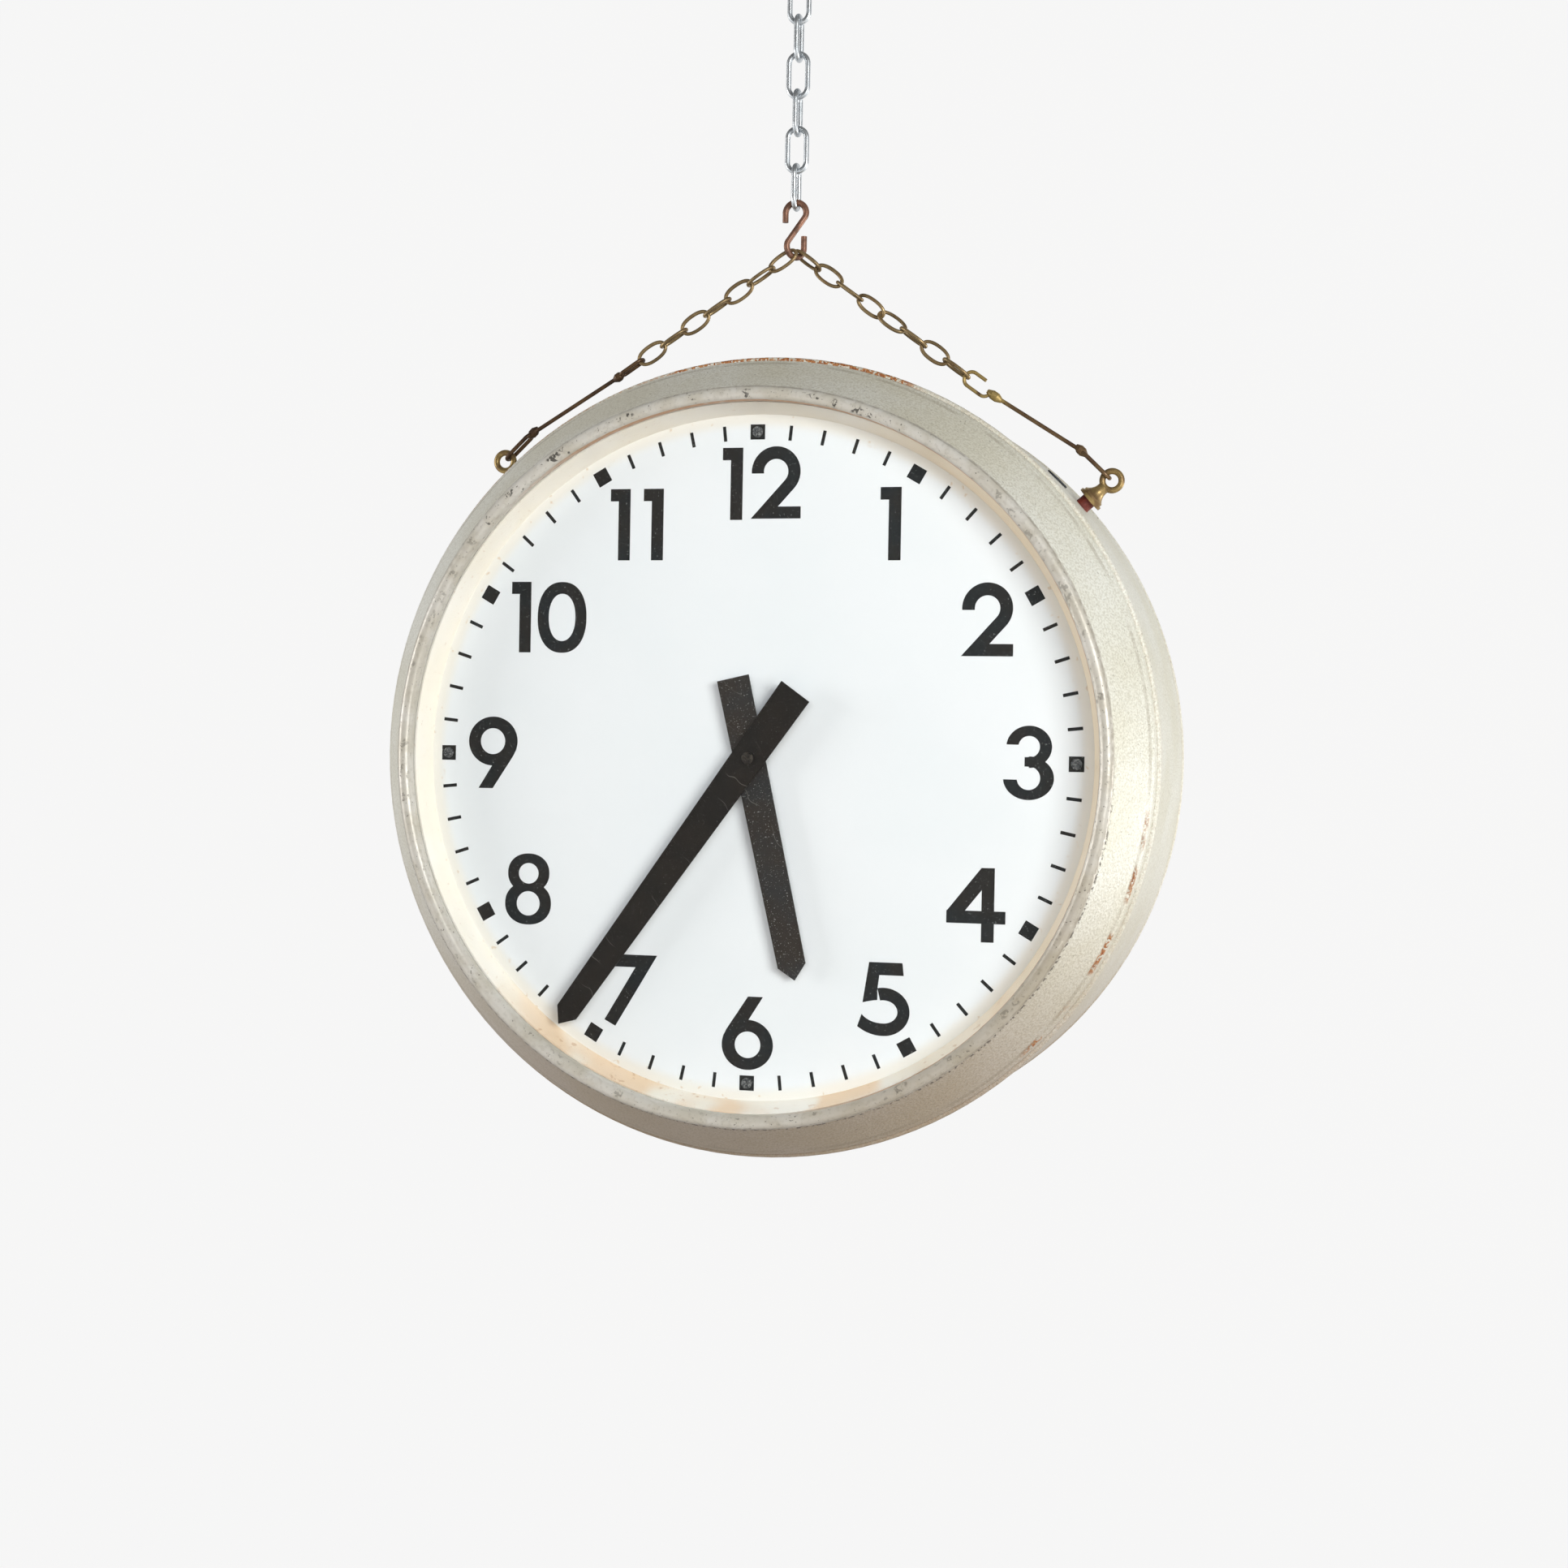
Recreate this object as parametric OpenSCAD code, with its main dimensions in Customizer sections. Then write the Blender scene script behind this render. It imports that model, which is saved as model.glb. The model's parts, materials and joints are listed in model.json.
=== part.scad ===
// Round double-faced wall clock that hangs from a ceiling plate on a chain and a brass bridle.
// Origin: centre of the ceiling plate's top face. +Z is up and the front dial faces -Y.
// Depth means the distance from the middle of the case towards the face that is being built.

/* [Case] */
// Outer radius of the drum
drum_r = 217.8; // [212:0.1:235]
// Width of the drum between the two rolled lips
drum_w = 108.2; // [104:0.1:140]
// Thickness of the case sheet
sheet_t = 1.2; // [0.8:0.1:1.4]
// How far each rolled lip stands outside the drum
lip_proud = 0.6; // [0.3:0.1:0.9]
// Thickness of the rolled lip
lip_d = 3.4; // [3:0.1:4]
// Length of the shell's spigot inside the drum
spigot_len = 9; // [6:0.5:14]
// How far the foot of the cone lies inside the drum's radius
foot_in = 2.2; // [1.8:0.1:3]
// Depth of the plain band between the lip and the cone
band_w = 8.8; // [6:0.1:12]
// Depth of the cone
cone_w = 28.4; // [24:0.1:36]
// How much smaller the radius is at the front of the cone
cone_run = 17.4; // [12:0.1:19]

/* [Bezel and glass] */
// Width of the rolled bezel bead
bezel_w = 7.8; // [7.4:0.1:8.2]
// Thickness of the bezel sheet
bezel_t = 1; // [0.7:0.1:1.2]
// Depth of the bezel's inner edge behind the front of the cone
bezel_leg = 3.9; // [3:0.1:4.6]
// Thickness of the glass
glass_t = 3; // [2:0.1:4]
// Thickness of the gasket's lip in front of the glass
gasket_t = 0.8; // [0.5:0.1:1]
// Radial width of the inner ring's slope
ring_run = 5; // [3:0.1:7]
// Thickness of the inner ring's sheet
ring_t = 0.9; // [0.6:0.1:1.2]

/* [Dial] */
// Depth of the dial behind the front of the cone
dial_sink = 20.8; // [19:0.1:23]
// Thickness of the dial plate
dial_t = 1; // [0.8:0.1:1.5]
// How far the dial plate reaches under the inner ring
dial_under = 1.6; // [1.2:0.1:4]
// Distance from the foot of the inner ring to the circle of the four dial screws
screw_inset = 9.4; // [8.4:0.1:25]
// Diameter of a dial screw's head
dial_screw_head_d = 5.8; // [5:0.1:7]
// Diameter of the pillars that carry the dial
dial_pillar_d = 10; // [8:0.5:14]

/* [Hands] */
// Angle of the minute hand clockwise from twelve
minute_turn = 215.5; // [0:0.5:360]
// Angle of the hour hand clockwise from twelve
hour_turn = 167; // [0:0.5:360]
// Distance from the foot of the inner ring to the tip of the minute hand
minute_gap = 4.1; // [1.5:0.1:35]
// Length of the minute hand's tail
minute_tail = 44.4; // [30:0.1:60]
// Width of the minute hand at its tail
minute_tail_w = 19; // [14:0.1:20]
// Width of the minute hand near the tip
minute_tip_w = 13.2; // [8:0.1:14]
// Length of the hour hand from its centre to the tip
hour_len = 121.8; // [90:0.1:140]
// Length of the hour hand's tail
hour_tail = 44.2; // [30:0.1:60]
// Width of the hour hand at its tail
hour_tail_w = 18; // [14:0.1:20]
// Width of the hour hand near the tip
hour_tip_w = 15.6; // [10:0.1:16]
// Thickness of both hands
hand_t = 1; // [0.6:0.1:1.2]

/* [Ceiling fixing] */
// Diameter of the ceiling plate
plate_d = 60; // [58:1:90]
// Thickness of the ceiling plate
plate_t = 3; // [2:0.5:5]
// Diameter of the circle of the three screw holes
plate_hole_pcd = 44; // [38:1:48]
// Diameter of each screw hole
plate_hole_d = 5; // [4:0.5:6]
// Distance from the ceiling to the lowest wire centre of the hook
hook_drop = 36.8; // [30:0.1:80]
// Thickness of the ceiling hook's wire
ceiling_hook_wire = 4; // [3.5:0.1:4.2]

/* [Galvanised chain] */
// Thickness of the chain's wire
chain_wire = 3; // [2.8:0.1:3.1]
// Distance from one link to the next
chain_pitch = 21; // [19:0.5:26]
// Outer width of a link
chain_link_w = 14; // [13.2:0.1:15.5]

/* [Bridle] */
// Thickness of the brass wire, which sets the size of the brass links and the S-hook
brass_wire = 2.1; // [2:0.05:2.2]
// Distance from the lowest wire centre of the S-hook to the top of the drum
apex_rise = 65.7; // [63.2:0.1:78]
// Slope of the left chain below level
left_slope = 33.3; // [31:0.1:35]
// Slope of the right chain below level
right_slope = 35.9; // [34:0.1:37]
// Twist of the right chain between its third and seventh link
chain_twist = 90; // [80:1:100]
// Slope of the two loops at the eyes above level
loop_slope = 44; // [40:1:48]
// Diameter of the rods
rod_d = 2.4; // [2.2:0.1:2.5]
// Length of the loops at the eyes
eye_loop_len = 20.5; // [18:0.1:22]
// Length of the folded hook on the left rod
fold_len = 16; // [14:0.1:18]
// Diameter of the beads and collars on the rods
rod_bead_d = 5.2; // [4.4:0.1:6]

/* [Eyes] */
// Half of the angle between the two eyes
eye_angle = 47.5; // [44:0.1:52]
// How far the pair of eyes is turned to the right
eye_turn = 2; // [0:0.1:3]
// Outer diameter of the eye ring
eye_ring_d = 14; // [13.8:0.1:15]
// Thickness of the eye ring
eye_wire = 3.5; // [3.3:0.1:3.6]
// Height of the bell part of the ferrule
ferrule_bell_h = 7.4; // [6:0.1:9]
// Diameter of the ferrule's foot
ferrule_d = 15; // [13:0.1:17]
// Height of the spacer under the right ferrule
spacer_h = 5.3; // [3.5:0.1:7]
// How much higher the left spacer is
spacer_lift = 3.5; // [1:0.1:4]
// Diameter of the spacers
spacer_d = 8.7; // [7:0.1:10]
// Angle of the cable plug to the right of twelve
plug_angle = 44.1; // [42:0.1:44.4]
// Diameter of the cable plug
plug_d = 14; // [12:0.1:14.4]
// Diameter of the cable bore in the plug
plug_bore_d = 6; // [5:0.1:8]

/* [Inside] */
// Width of the suspension strap
strap_w = 40; // [30:1:60]
// Thickness of the suspension strap
strap_t = 4; // [3:0.5:6]
// Angle that the strap covers on each side of twelve
strap_reach = 62; // [58:1:75]
// Width of the arms of the inner frame
arm_w = 26; // [20:1:34]
// Thickness of the inner frame
frame_t = 4; // [3.6:0.1:6]
// Diameter of the movement studs
stud_d = 8; // [6:0.5:10]
// Thickness of the movement plates
mplate_t = 2; // [1.5:0.1:2.5]
// Distance between the two plates of a movement
mplate_gap = 26; // [25.6:0.1:28]
// Radius of the ratchet wheel
ratchet_r = 26; // [25:0.1:26.2]
// Tooth size of the pinion on the centre arbor
drive_module = 0.8; // [0.78:0.01:0.82]
// Length of a coil
coil_h = 25; // [20:0.5:25.5]
// Outer diameter of a coil
coil_d = 20; // [16:0.5:22]
// Gap between a pole and the armature at rest
pole_gap = 3.9; // [3.8:0.1:4.4]

/* [Hidden] */
$fn = 96;
small = 0.01;

// A bent wire is laid piece by piece: the next piece is drawn thinner and starts inside the one before it
thin = 0.97;
lap = 0.3;
lap_turn = 4;

// Clearances
run_fit = 0.05;
seat_fit = 0.02;
body_gap = 0.3;
slip_fit = 0.1;

// Case depths, from the middle outwards
drum_half = drum_w / 2;
drum_in_r = drum_r - sheet_t;
spigot_r = drum_in_r - slip_fit;
foot_r = drum_r - foot_in;
foot_d = drum_half + band_w;
rim_r = foot_r - cone_run;
rim_d = foot_d + cone_w;
lip_r = drum_r + lip_proud;

// Bezel, glass and dial
bead_r = bezel_w / 2;
bezel_mid_r = rim_r - bead_r + slip_fit / 2;
bezel_in_r = bezel_mid_r - bead_r;
bezel_mid_d = rim_d - bead_r * 0.23;
leg_end_d = rim_d - bezel_leg;
glass_front_d = leg_end_d - gasket_t;
glass_back_d = glass_front_d - glass_t;
glass_r = bezel_in_r + 2.05;
flange_in_r = glass_r + 0.5;
gasket_out_r = glass_r + 3.5;
ring_top_r = bezel_in_r - 0.05;
ring_foot_r = ring_top_r - ring_run;
dial_d = rim_d - dial_sink;
dial_back_d = dial_d - dial_t;
dial_r = ring_foot_r + dial_under;

// Dial screws and pillars
screw_ring_r = ring_foot_r - screw_inset;
screw_shank_r = 1.5;
screw_len = 9;
screw_head_h = 0.9;
slot_w = 0.8;

// Motion work behind the dial
arbor_r = 2.5;
mfront_d = dial_d - 16.5;
mback_d = mfront_d - mplate_gap - mplate_t;
mface_d = mfront_d + mplate_t;
pinion_teeth = 12;
wheel_teeth = 36;
hour_teeth = 48;
hour_module = drive_module * (pinion_teeth + wheel_teeth) / (pinion_teeth + hour_teeth);
gear_distance = drive_module * (pinion_teeth + wheel_teeth) / 2;
gear_turn = 60;
pinion_back_d = mface_d + body_gap;
pinion_front_d = pinion_back_d + 4;
wheel_back_d = mface_d + 1;
wheel_front_d = wheel_back_d + 3;
hour_back_d = pinion_front_d + body_gap;
hour_wheel_d = hour_back_d + 1;
hour_wheel_t = 2;
hour_tube_r = 4.5;
hour_seat_r = 3.9;
small_pinion_end_d = hour_wheel_d + hour_wheel_t + 0.8;
stud_r = 1.5;
stud_flange_r = 2.6;

// Hands
hour_hand_d = dial_d + 5.5;
minute_hand_d = hour_hand_d + 3;
minute_len = ring_foot_r - minute_gap;
hub_r = 9;
hub_t = 0.8;
arbor_tip_r = 2;
hub_screw_r = 3.2;
hub_screw_h = 1.6;
rivet_r = 1.3;
rivet_h = 0.35;
minute_rivet = 42.9;
hour_rivet = 35.7;
tip_point = 8;

// Movement layout as seen from the front
stud_x = 43;
stud_top = 31;
stud_low = -71;
mplate_x = 50;
mplate_top = 38;
mplate_low = -78;
yoke_top = -66;
yoke_h = 4;
pole_x = 14;
pole_r = 4;
coil_depth = (mback_d + mplate_t + mfront_d) / 2;
armature_x = -32;
armature_z = -33;
armature_half = 1.5;
armature_end = ratchet_r + 1.2;
pole_top = armature_z - armature_half - pole_gap;
ratchet_d = coil_depth - 1;
ratchet_t = 2;
ratchet_teeth = 60;
tooth_h = 1.6;
stop_x = -42;
stop_z = 8;
stop_w = 6;
stop_h = 9;
leaf_t = 2;
leaf_rise = 1.5;
block_low = -128;
block_w = 22;
block_h = 16;
block_t = 14;

// Chain and hook heights below the ceiling
hook_bend_r = 7;
link_half = (chain_pitch + chain_wire + body_gap) / 2;
link_bend_r = (chain_link_w - chain_wire) / 2;
link_count = 6;
hook_wire = brass_wire * 5 / 3;
hook_r = brass_wire * 2.86;
hook_span = 31;
hook_z = -hook_drop;
first_link_z = hook_z + (ceiling_hook_wire + chain_wire) / 2 + body_gap - link_half;
last_link_z = first_link_z - (link_count - 1) * chain_pitch;
s_top_z = last_link_z - link_half + (chain_wire + hook_wire) / 2 + body_gap;
apex_z = s_top_z - hook_span;
clock_z = apex_z - apex_rise - drum_r;

// Brass links; the two next to the S-hook lie across its lower bend, which is turned
brass_pitch = brass_wire * 7.286;
brass_half = (brass_pitch + brass_wire + run_fit) / 2;
brass_bend_r = brass_wire * 2;
hook_turn = 51.6;
left_first = [-6.44, -2.464, -2.163] * brass_wire / 2.1;
right_first = [6.822, 2.458, -1.598] * brass_wire / 2.1;
left_first_roll = 25.5;
left_untwist = 18.75;
left_last_twist = -12;
right_first_roll = -115.5;
left_links = 7;
right_links = 8;

// Eyes
eye_hole_r = 2.6;
shank_r = 2.5;
ferrule_foot_h = 1.8;
eye_bend_r = (eye_ring_d - eye_wire) / 2;
strap_in_r = drum_in_r - strap_t;
nut_r = 5.2;
nut_h = 4;

// Placing

module in_clock() translate([0, 0, clock_z]) children();

module front() in_clock() children();

module rear() in_clock() rotate([0, 0, 180]) children();

module both() {
    front() children();
    rear() children();
}

// A flat outline drawn as seen from the face, made thick towards the face
module layer(depth, thick) translate([0, -depth, 0]) rotate([90, 0, 0]) linear_extrude(thick) children();

// A profile of radius and depth, turned about the clock's axis
module turned() rotate([90, 0, 0]) rotate_extrude() children();

// A round piece between two depths at a place in the face
module round_bar(x, z, r, from_d, to_d) translate([x, -from_d, z]) rotate([90, 0, 0]) cylinder(r = r, h = to_d - from_d);

// The radial frame of an eye: +Z points away from the clock's axis
module at_angle(a) rotate([0, a, 0]) children();

function eye_at(s) = s * eye_angle + eye_turn;
function lift(s) = s < 0 ? spacer_lift : 0;
function ring_centre_r(s) = drum_r + spacer_h + lift(s) + ferrule_foot_h + ferrule_bell_h + eye_ring_d / 2;
function ring_centre(s) = ring_centre_r(s) * [sin(eye_at(s)), 0, cos(eye_at(s))];

// Wire forms

// A closed link with its long axis along Z, in the XZ plane
module wire_link(wire, half, bend) {
    straight = half - bend;
    for (s = [0, 180]) rotate([0, s, 0]) {
        translate([0, 0, straight]) rotate([90, 0, 0]) rotate_extrude(angle = 180) translate([bend, 0])
            circle(d = wire, $fn = 32);
        translate([bend, 0, -straight]) cylinder(d = wire, h = 2 * straight, $fn = 32);
    }
}

// A straight wire from one point to another
module wire_between(a, b, d) {
    v = b - a;
    flat = norm([v[0], v[1]]);
    translate(a) rotate([0, atan2(flat, v[2]), atan2(v[1], v[0])]) cylinder(d = d, h = norm(v), $fn = 32);
}

// Ceiling fixing

module ceiling_plate() color("gainsboro") translate([0, 0, -plate_t]) difference() {
    cylinder(d = plate_d, h = plate_t);
    for (i = [0:2]) rotate(i * 120 + 90) translate([plate_hole_pcd / 2, 0, -1]) cylinder(d = plate_hole_d, h = plate_t + 2);
}

module ceiling_hook() color("gray") {
    mid = hook_z + hook_bend_r;
    translate([0, 0, mid]) rotate([0, 0, 90]) rotate([90, 0, 0]) rotate([0, 0, 90])
        rotate_extrude(angle = 285) translate([hook_bend_r, 0]) circle(d = ceiling_hook_wire, $fn = 32);
    translate([0, 0, mid + hook_bend_r]) cylinder(d = ceiling_hook_wire, h = -plate_t - mid - hook_bend_r, $fn = 32);
}

// Galvanised chain: odd links lie in the XZ plane, even ones in the YZ plane

module chain_link(i) color("silver") translate([0, 0, first_link_z - (i - 1) * chain_pitch])
    rotate([0, 0, i % 2 == 1 ? 0 : 90]) wire_link(chain_wire, link_half, link_bend_r);

// S-hook: the upper bend lies in the XZ plane and opens to the left, the lower bend is turned.
// Two slight bends lead the shank from the right end of the upper bend to the left end of the lower one.

module wire_arc(p, heading, from, angle, r, wire) translate(p) rotate([0, 0, heading]) rotate([90, 0, 0])
    rotate([0, 0, from]) rotate_extrude(angle = angle) translate([r, 0]) circle(d = wire, $fn = 32);

module s_hook() color("sienna") {
    upper = [0, 0, s_top_z - hook_r];
    lower = [0, 0, apex_z + hook_r];
    upper_end = upper + [hook_r, 0, 0];
    lower_end = lower - hook_r * [cos(hook_turn), sin(hook_turn), 0];
    across = lower_end - upper_end;
    heading = atan2(across[1], across[0]);
    ahead = [cos(heading), sin(heading), 0];
    bend_r = hook_r * 0.8;
    inset = norm([across[0], across[1]]) - 2 * bend_r;
    fall = -across[2];
    shank = sqrt(inset * inset + fall * fall - 4 * bend_r * bend_r);
    bend = atan2(shank, -2 * bend_r) - atan2(fall, inset);
    shank_top = upper_end + bend_r * ((1 - cos(bend)) * ahead - [0, 0, sin(bend)]);
    shank_dir = sin(bend) * ahead - [0, 0, cos(bend)];
    tip_len = hook_r * 0.85;
    bend_wire = hook_wire * thin;
    shank_wire = bend_wire * thin;
    wire_arc(upper, 0, 0, 180, hook_r, hook_wire);
    wire_arc(lower, hook_turn, 180, 180, hook_r, hook_wire);
    wire_arc(upper_end + bend_r * ahead, heading, 180 - lap_turn, bend + lap_turn, bend_r, bend_wire);
    wire_arc(lower_end - bend_r * ahead, heading, -lap_turn, bend + lap_turn, bend_r, bend_wire);
    wire_between(shank_top - lap * shank_dir, shank_top + (shank + lap) * shank_dir, shank_wire);
    translate(upper - [hook_r, 0, tip_len]) cylinder(d = bend_wire, h = tip_len + lap, $fn = 32);
    translate(2 * lower - lower_end - [0, 0, lap]) cylinder(d = bend_wire, h = tip_len * 1.3 + lap, $fn = 32);
}

// Bridle: brass links on both sides, then a rod with a loop at each eye

function slope_of(s) = s < 0 ? left_slope : right_slope;
function chain_dir(s) = [s * cos(slope_of(s)), 0, -sin(slope_of(s))];
function loop_dir(s) = [-s * cos(loop_slope), 0, sin(loop_slope)];
function first_centre(s) = [0, 0, apex_z] + (s < 0 ? left_first : right_first);
function chain_centre(s, k) = first_centre(s) + k * brass_pitch * chain_dir(s);
function rod_start(s) = first_centre(s) + ((s < 0 ? left_links : right_links) * brass_pitch - brass_half) * chain_dir(s);
function loop_end(s) = [0, 0, clock_z] + ring_centre(s) + (eye_bend_r - (eye_wire + rod_d) / 2 - body_gap) * loop_dir(s);
function left_roll(k) = max(left_first_roll - left_untwist * k, left_last_twist) + 90 * k;
function twist_at(k) = chain_twist * min(max(k - 2, 0), 4) / 4;
function right_roll(k) = k == 0 ? right_first_roll : 90 * (k + 1) + twist_at(k);

// Lays a child, drawn along Z in the XZ plane, along a direction in the XZ plane
module along(p, dir, roll) translate(p) rotate([0, atan2(dir[0], dir[2]), 0]) rotate([0, 0, roll]) children();

module bridle_links() color("peru") {
    for (k = [0:left_links - 1]) along(chain_centre(-1, k), chain_dir(-1), left_roll(k))
        wire_link(brass_wire, brass_half, brass_bend_r);
    for (k = [0:right_links - 1]) along(chain_centre(1, k), chain_dir(1), right_roll(k))
        wire_link(brass_wire, brass_half, brass_bend_r);
}

// A bead on a rod: a short barrel with rounded ends
module rod_bead(p, dir, d, len) along(p, dir, 0) union() {
    translate([0, 0, -len / 2]) cylinder(d1 = rod_d, d2 = d, h = len / 3, $fn = 32);
    translate([0, 0, -len / 6]) cylinder(d = d, h = len / 3, $fn = 32);
    translate([0, 0, len / 6]) cylinder(d1 = d, d2 = rod_d, h = len / 3, $fn = 32);
}

// The long loop at an eye, with the collar that closes it
module eye_loop(s) {
    loop_half = eye_loop_len / 2;
    bend_r = rod_d * 1.6;
    straight = loop_half - bend_r;
    along(loop_end(s) + loop_half * loop_dir(s), loop_dir(s), 90) {
        wire_arc([0, 0, -straight], 0, 180, 180, bend_r, rod_d);
        wire_arc([0, 0, straight], 0, 0, 180, bend_r, rod_d);
        for (x = [-1, 1]) translate([x * bend_r, 0, -straight - lap])
            cylinder(d = rod_d * thin, h = 2 * (straight + lap), $fn = 32);
    }
}

function collar_at(s) = loop_end(s) + (eye_loop_len + 1.5) * loop_dir(s);

module bridle_rod_left() color("saddlebrown") {
    fold_end = rod_start(-1) + (fold_len + 1.5) * chain_dir(-1);
    fold_half = fold_len / 2;
    eye_loop(-1);
    rod_bead(collar_at(-1), loop_dir(-1), rod_bead_d, 8);
    along(rod_start(-1) + fold_half * chain_dir(-1), chain_dir(-1), 90)
        wire_link(brass_wire, fold_half, brass_bend_r * 0.8);
    rod_bead(fold_end, chain_dir(-1), rod_bead_d, 7);
    wire_between(collar_at(-1) - lap * loop_dir(-1), fold_end, rod_d * thin);
}

// The right rod ends in an open hook that holds the last brass link
module bridle_rod_right() color("saddlebrown") {
    hook_mid = rod_start(1) + brass_half * chain_dir(1);
    hook_end = rod_start(1) + (2 * brass_half + 3) * chain_dir(1);
    straight = brass_half - brass_bend_r;
    eye_loop(1);
    rod_bead(collar_at(1), loop_dir(1), rod_bead_d, 8);
    along(hook_mid, chain_dir(1), 0) {
        wire_arc([0, 0, -straight], 0, 180, 180, brass_bend_r, brass_wire);
        for (x = [-1, 1]) translate([x * brass_bend_r, 0, -straight - lap])
            cylinder(d = brass_wire * thin, h = (1.8 + 0.2 * x) * straight + lap, $fn = 32);
        wire_arc([0, 0, straight], 0, -lap_turn, 90 + lap_turn, brass_bend_r, brass_wire * thin * thin);
    }
    rod_bead(hook_end, chain_dir(1), rod_bead_d, 10);
    wire_between(collar_at(1) - lap * loop_dir(1), hook_end, rod_d * thin);
}

// Eyes on the drum

module at_eyes() in_clock() for (s = [-1, 1]) at_angle(eye_at(s)) translate([0, 0, drum_r + spacer_h + lift(s)]) children();

module eye_bolts() color("peru") in_clock() for (s = [-1, 1]) at_angle(eye_at(s)) {
    top = ring_centre_r(s);
    neck_h = eye_wire / 2;
    translate([0, 0, top]) rotate([90, 0, 0]) rotate_extrude() translate([eye_bend_r, 0]) circle(d = eye_wire, $fn = 40);
    translate([0, 0, strap_in_r - nut_h - 3]) cylinder(r = shank_r, h = top - eye_bend_r - strap_in_r + nut_h + 3, $fn = 40);
    translate([0, 0, top - eye_ring_d / 2]) cylinder(d = eye_wire * 1.9, h = neck_h, $fn = 40);
}

// Bell-shaped, with a hollow curve from the foot to the neck
module eye_ferrules() color("peru") at_eyes() rotate_extrude() difference() {
    bell_r = ferrule_bell_h * 0.95;
    neck_r = eye_wire * 0.95;
    union() {
        translate([eye_hole_r, 0]) square([ferrule_d / 2 - eye_hole_r, ferrule_foot_h]);
        translate([eye_hole_r, ferrule_foot_h - small]) square([ferrule_d / 2 - 1 - eye_hole_r, ferrule_bell_h + small]);
    }
    translate([neck_r + bell_r, ferrule_foot_h + ferrule_bell_h]) circle(r = bell_r);
}

module eye_spacers() color("brown") in_clock() for (s = [-1, 1]) at_angle(eye_at(s)) translate([0, 0, drum_r])
    difference() {
        cylinder(d = spacer_d, h = spacer_h + lift(s), $fn = 40);
        translate([0, 0, -1]) cylinder(r = eye_hole_r, h = spacer_h + lift(s) + 2, $fn = 40);
    }

module eye_nuts() color("silver") in_clock() for (s = [-1, 1]) at_angle(eye_at(s))
    translate([0, 0, sqrt(strap_in_r * strap_in_r - nut_r * nut_r) - nut_h]) difference() {
        cylinder(r = nut_r, h = nut_h, $fn = 6);
        translate([0, 0, -1]) cylinder(r = shank_r + seat_fit, h = nut_h + 2, $fn = 40);
    }

// Case

module drum() color("lightgray") in_clock() difference() {
    rotate([90, 0, 0]) difference() {
        cylinder(r = drum_r, h = drum_w, center = true);
        cylinder(r = drum_in_r, h = drum_w + 2, center = true);
    }
    for (s = [-1, 1]) at_angle(eye_at(s)) translate([0, 0, drum_in_r - 3]) cylinder(r = eye_hole_r, h = 8, $fn = 40);
    at_angle(plug_angle) translate([0, 0, drum_in_r - 3]) cylinder(d = plug_d - 2, h = 8, $fn = 40);
}

module suspension_strap() color("darkgray") in_clock() difference() {
    rotate([90, 0, 0]) rotate([0, 0, 90 - strap_reach]) rotate_extrude(angle = 2 * strap_reach)
        translate([strap_in_r, -strap_w / 2]) square([strap_t - seat_fit, strap_w]);
    for (s = [-1, 1]) at_angle(eye_at(s)) translate([0, 0, strap_in_r - 3]) cylinder(r = eye_hole_r, h = strap_t + 6, $fn = 40);
    at_angle(plug_angle) translate([0, 0, strap_in_r - 3]) cylinder(d = plug_d + 1, h = strap_t + 6, $fn = 40);
}

// Rubber plug with a bore for the cable: a flange on each side of the drum's sheet
module cable_plug() color("dimgray") in_clock() difference() {
    union() {
        intersection() {
            at_angle(plug_angle) translate([0, 0, drum_in_r - 4]) cylinder(d = plug_d, h = 8, $fn = 40);
            rotate([90, 0, 0]) difference() {
                cylinder(r = drum_r + 0.9, h = 2 * plug_d, center = true);
                cylinder(r = drum_r + seat_fit, h = 2 * plug_d + 2, center = true);
            }
        }
        intersection() {
            at_angle(plug_angle) translate([0, 0, drum_in_r - 6]) cylinder(d = plug_d, h = 12, $fn = 40);
            rotate([90, 0, 0]) difference() {
                cylinder(r = drum_in_r - seat_fit, h = 2 * plug_d, center = true);
                cylinder(r = drum_in_r - 2, h = 2 * plug_d + 2, center = true);
            }
        }
        intersection() {
            at_angle(plug_angle) translate([0, 0, drum_in_r - 6]) cylinder(d = plug_d - 2 - slip_fit, h = 12, $fn = 40);
            rotate([90, 0, 0]) difference() {
                cylinder(r = drum_r + 0.5, h = 2 * plug_d, center = true);
                cylinder(r = drum_in_r - 1, h = 2 * plug_d + 2, center = true);
            }
        }
    }
    at_angle(plug_angle) translate([0, 0, drum_in_r - 8]) cylinder(d = plug_bore_d, h = 16, $fn = 40);
}

// Shell: spigot, rolled lip, plain band, cone and the flange under the bezel
module shell() turned() union() {
    translate([lip_r - lip_d / 2, drum_half + lip_d / 2]) circle(d = lip_d, $fn = 32);
    translate([spigot_r - sheet_t, drum_half]) square([drum_r - slip_fit - spigot_r + sheet_t, lip_d / 2]);
    polygon([
        [spigot_r - sheet_t, drum_half - spigot_len], [spigot_r, drum_half - spigot_len],
        [spigot_r, drum_half + lip_d / 2], [foot_r, foot_d], [rim_r, rim_d], [flange_in_r, rim_d],
        [flange_in_r, rim_d - sheet_t], [rim_r - sheet_t / 2, rim_d - sheet_t], [foot_r - sheet_t, foot_d],
        [spigot_r - sheet_t, drum_half + lip_d / 2]
    ]);
}

module front_shell() color("silver") front() shell();
module rear_shell() color("silver") rear() shell();

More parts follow.
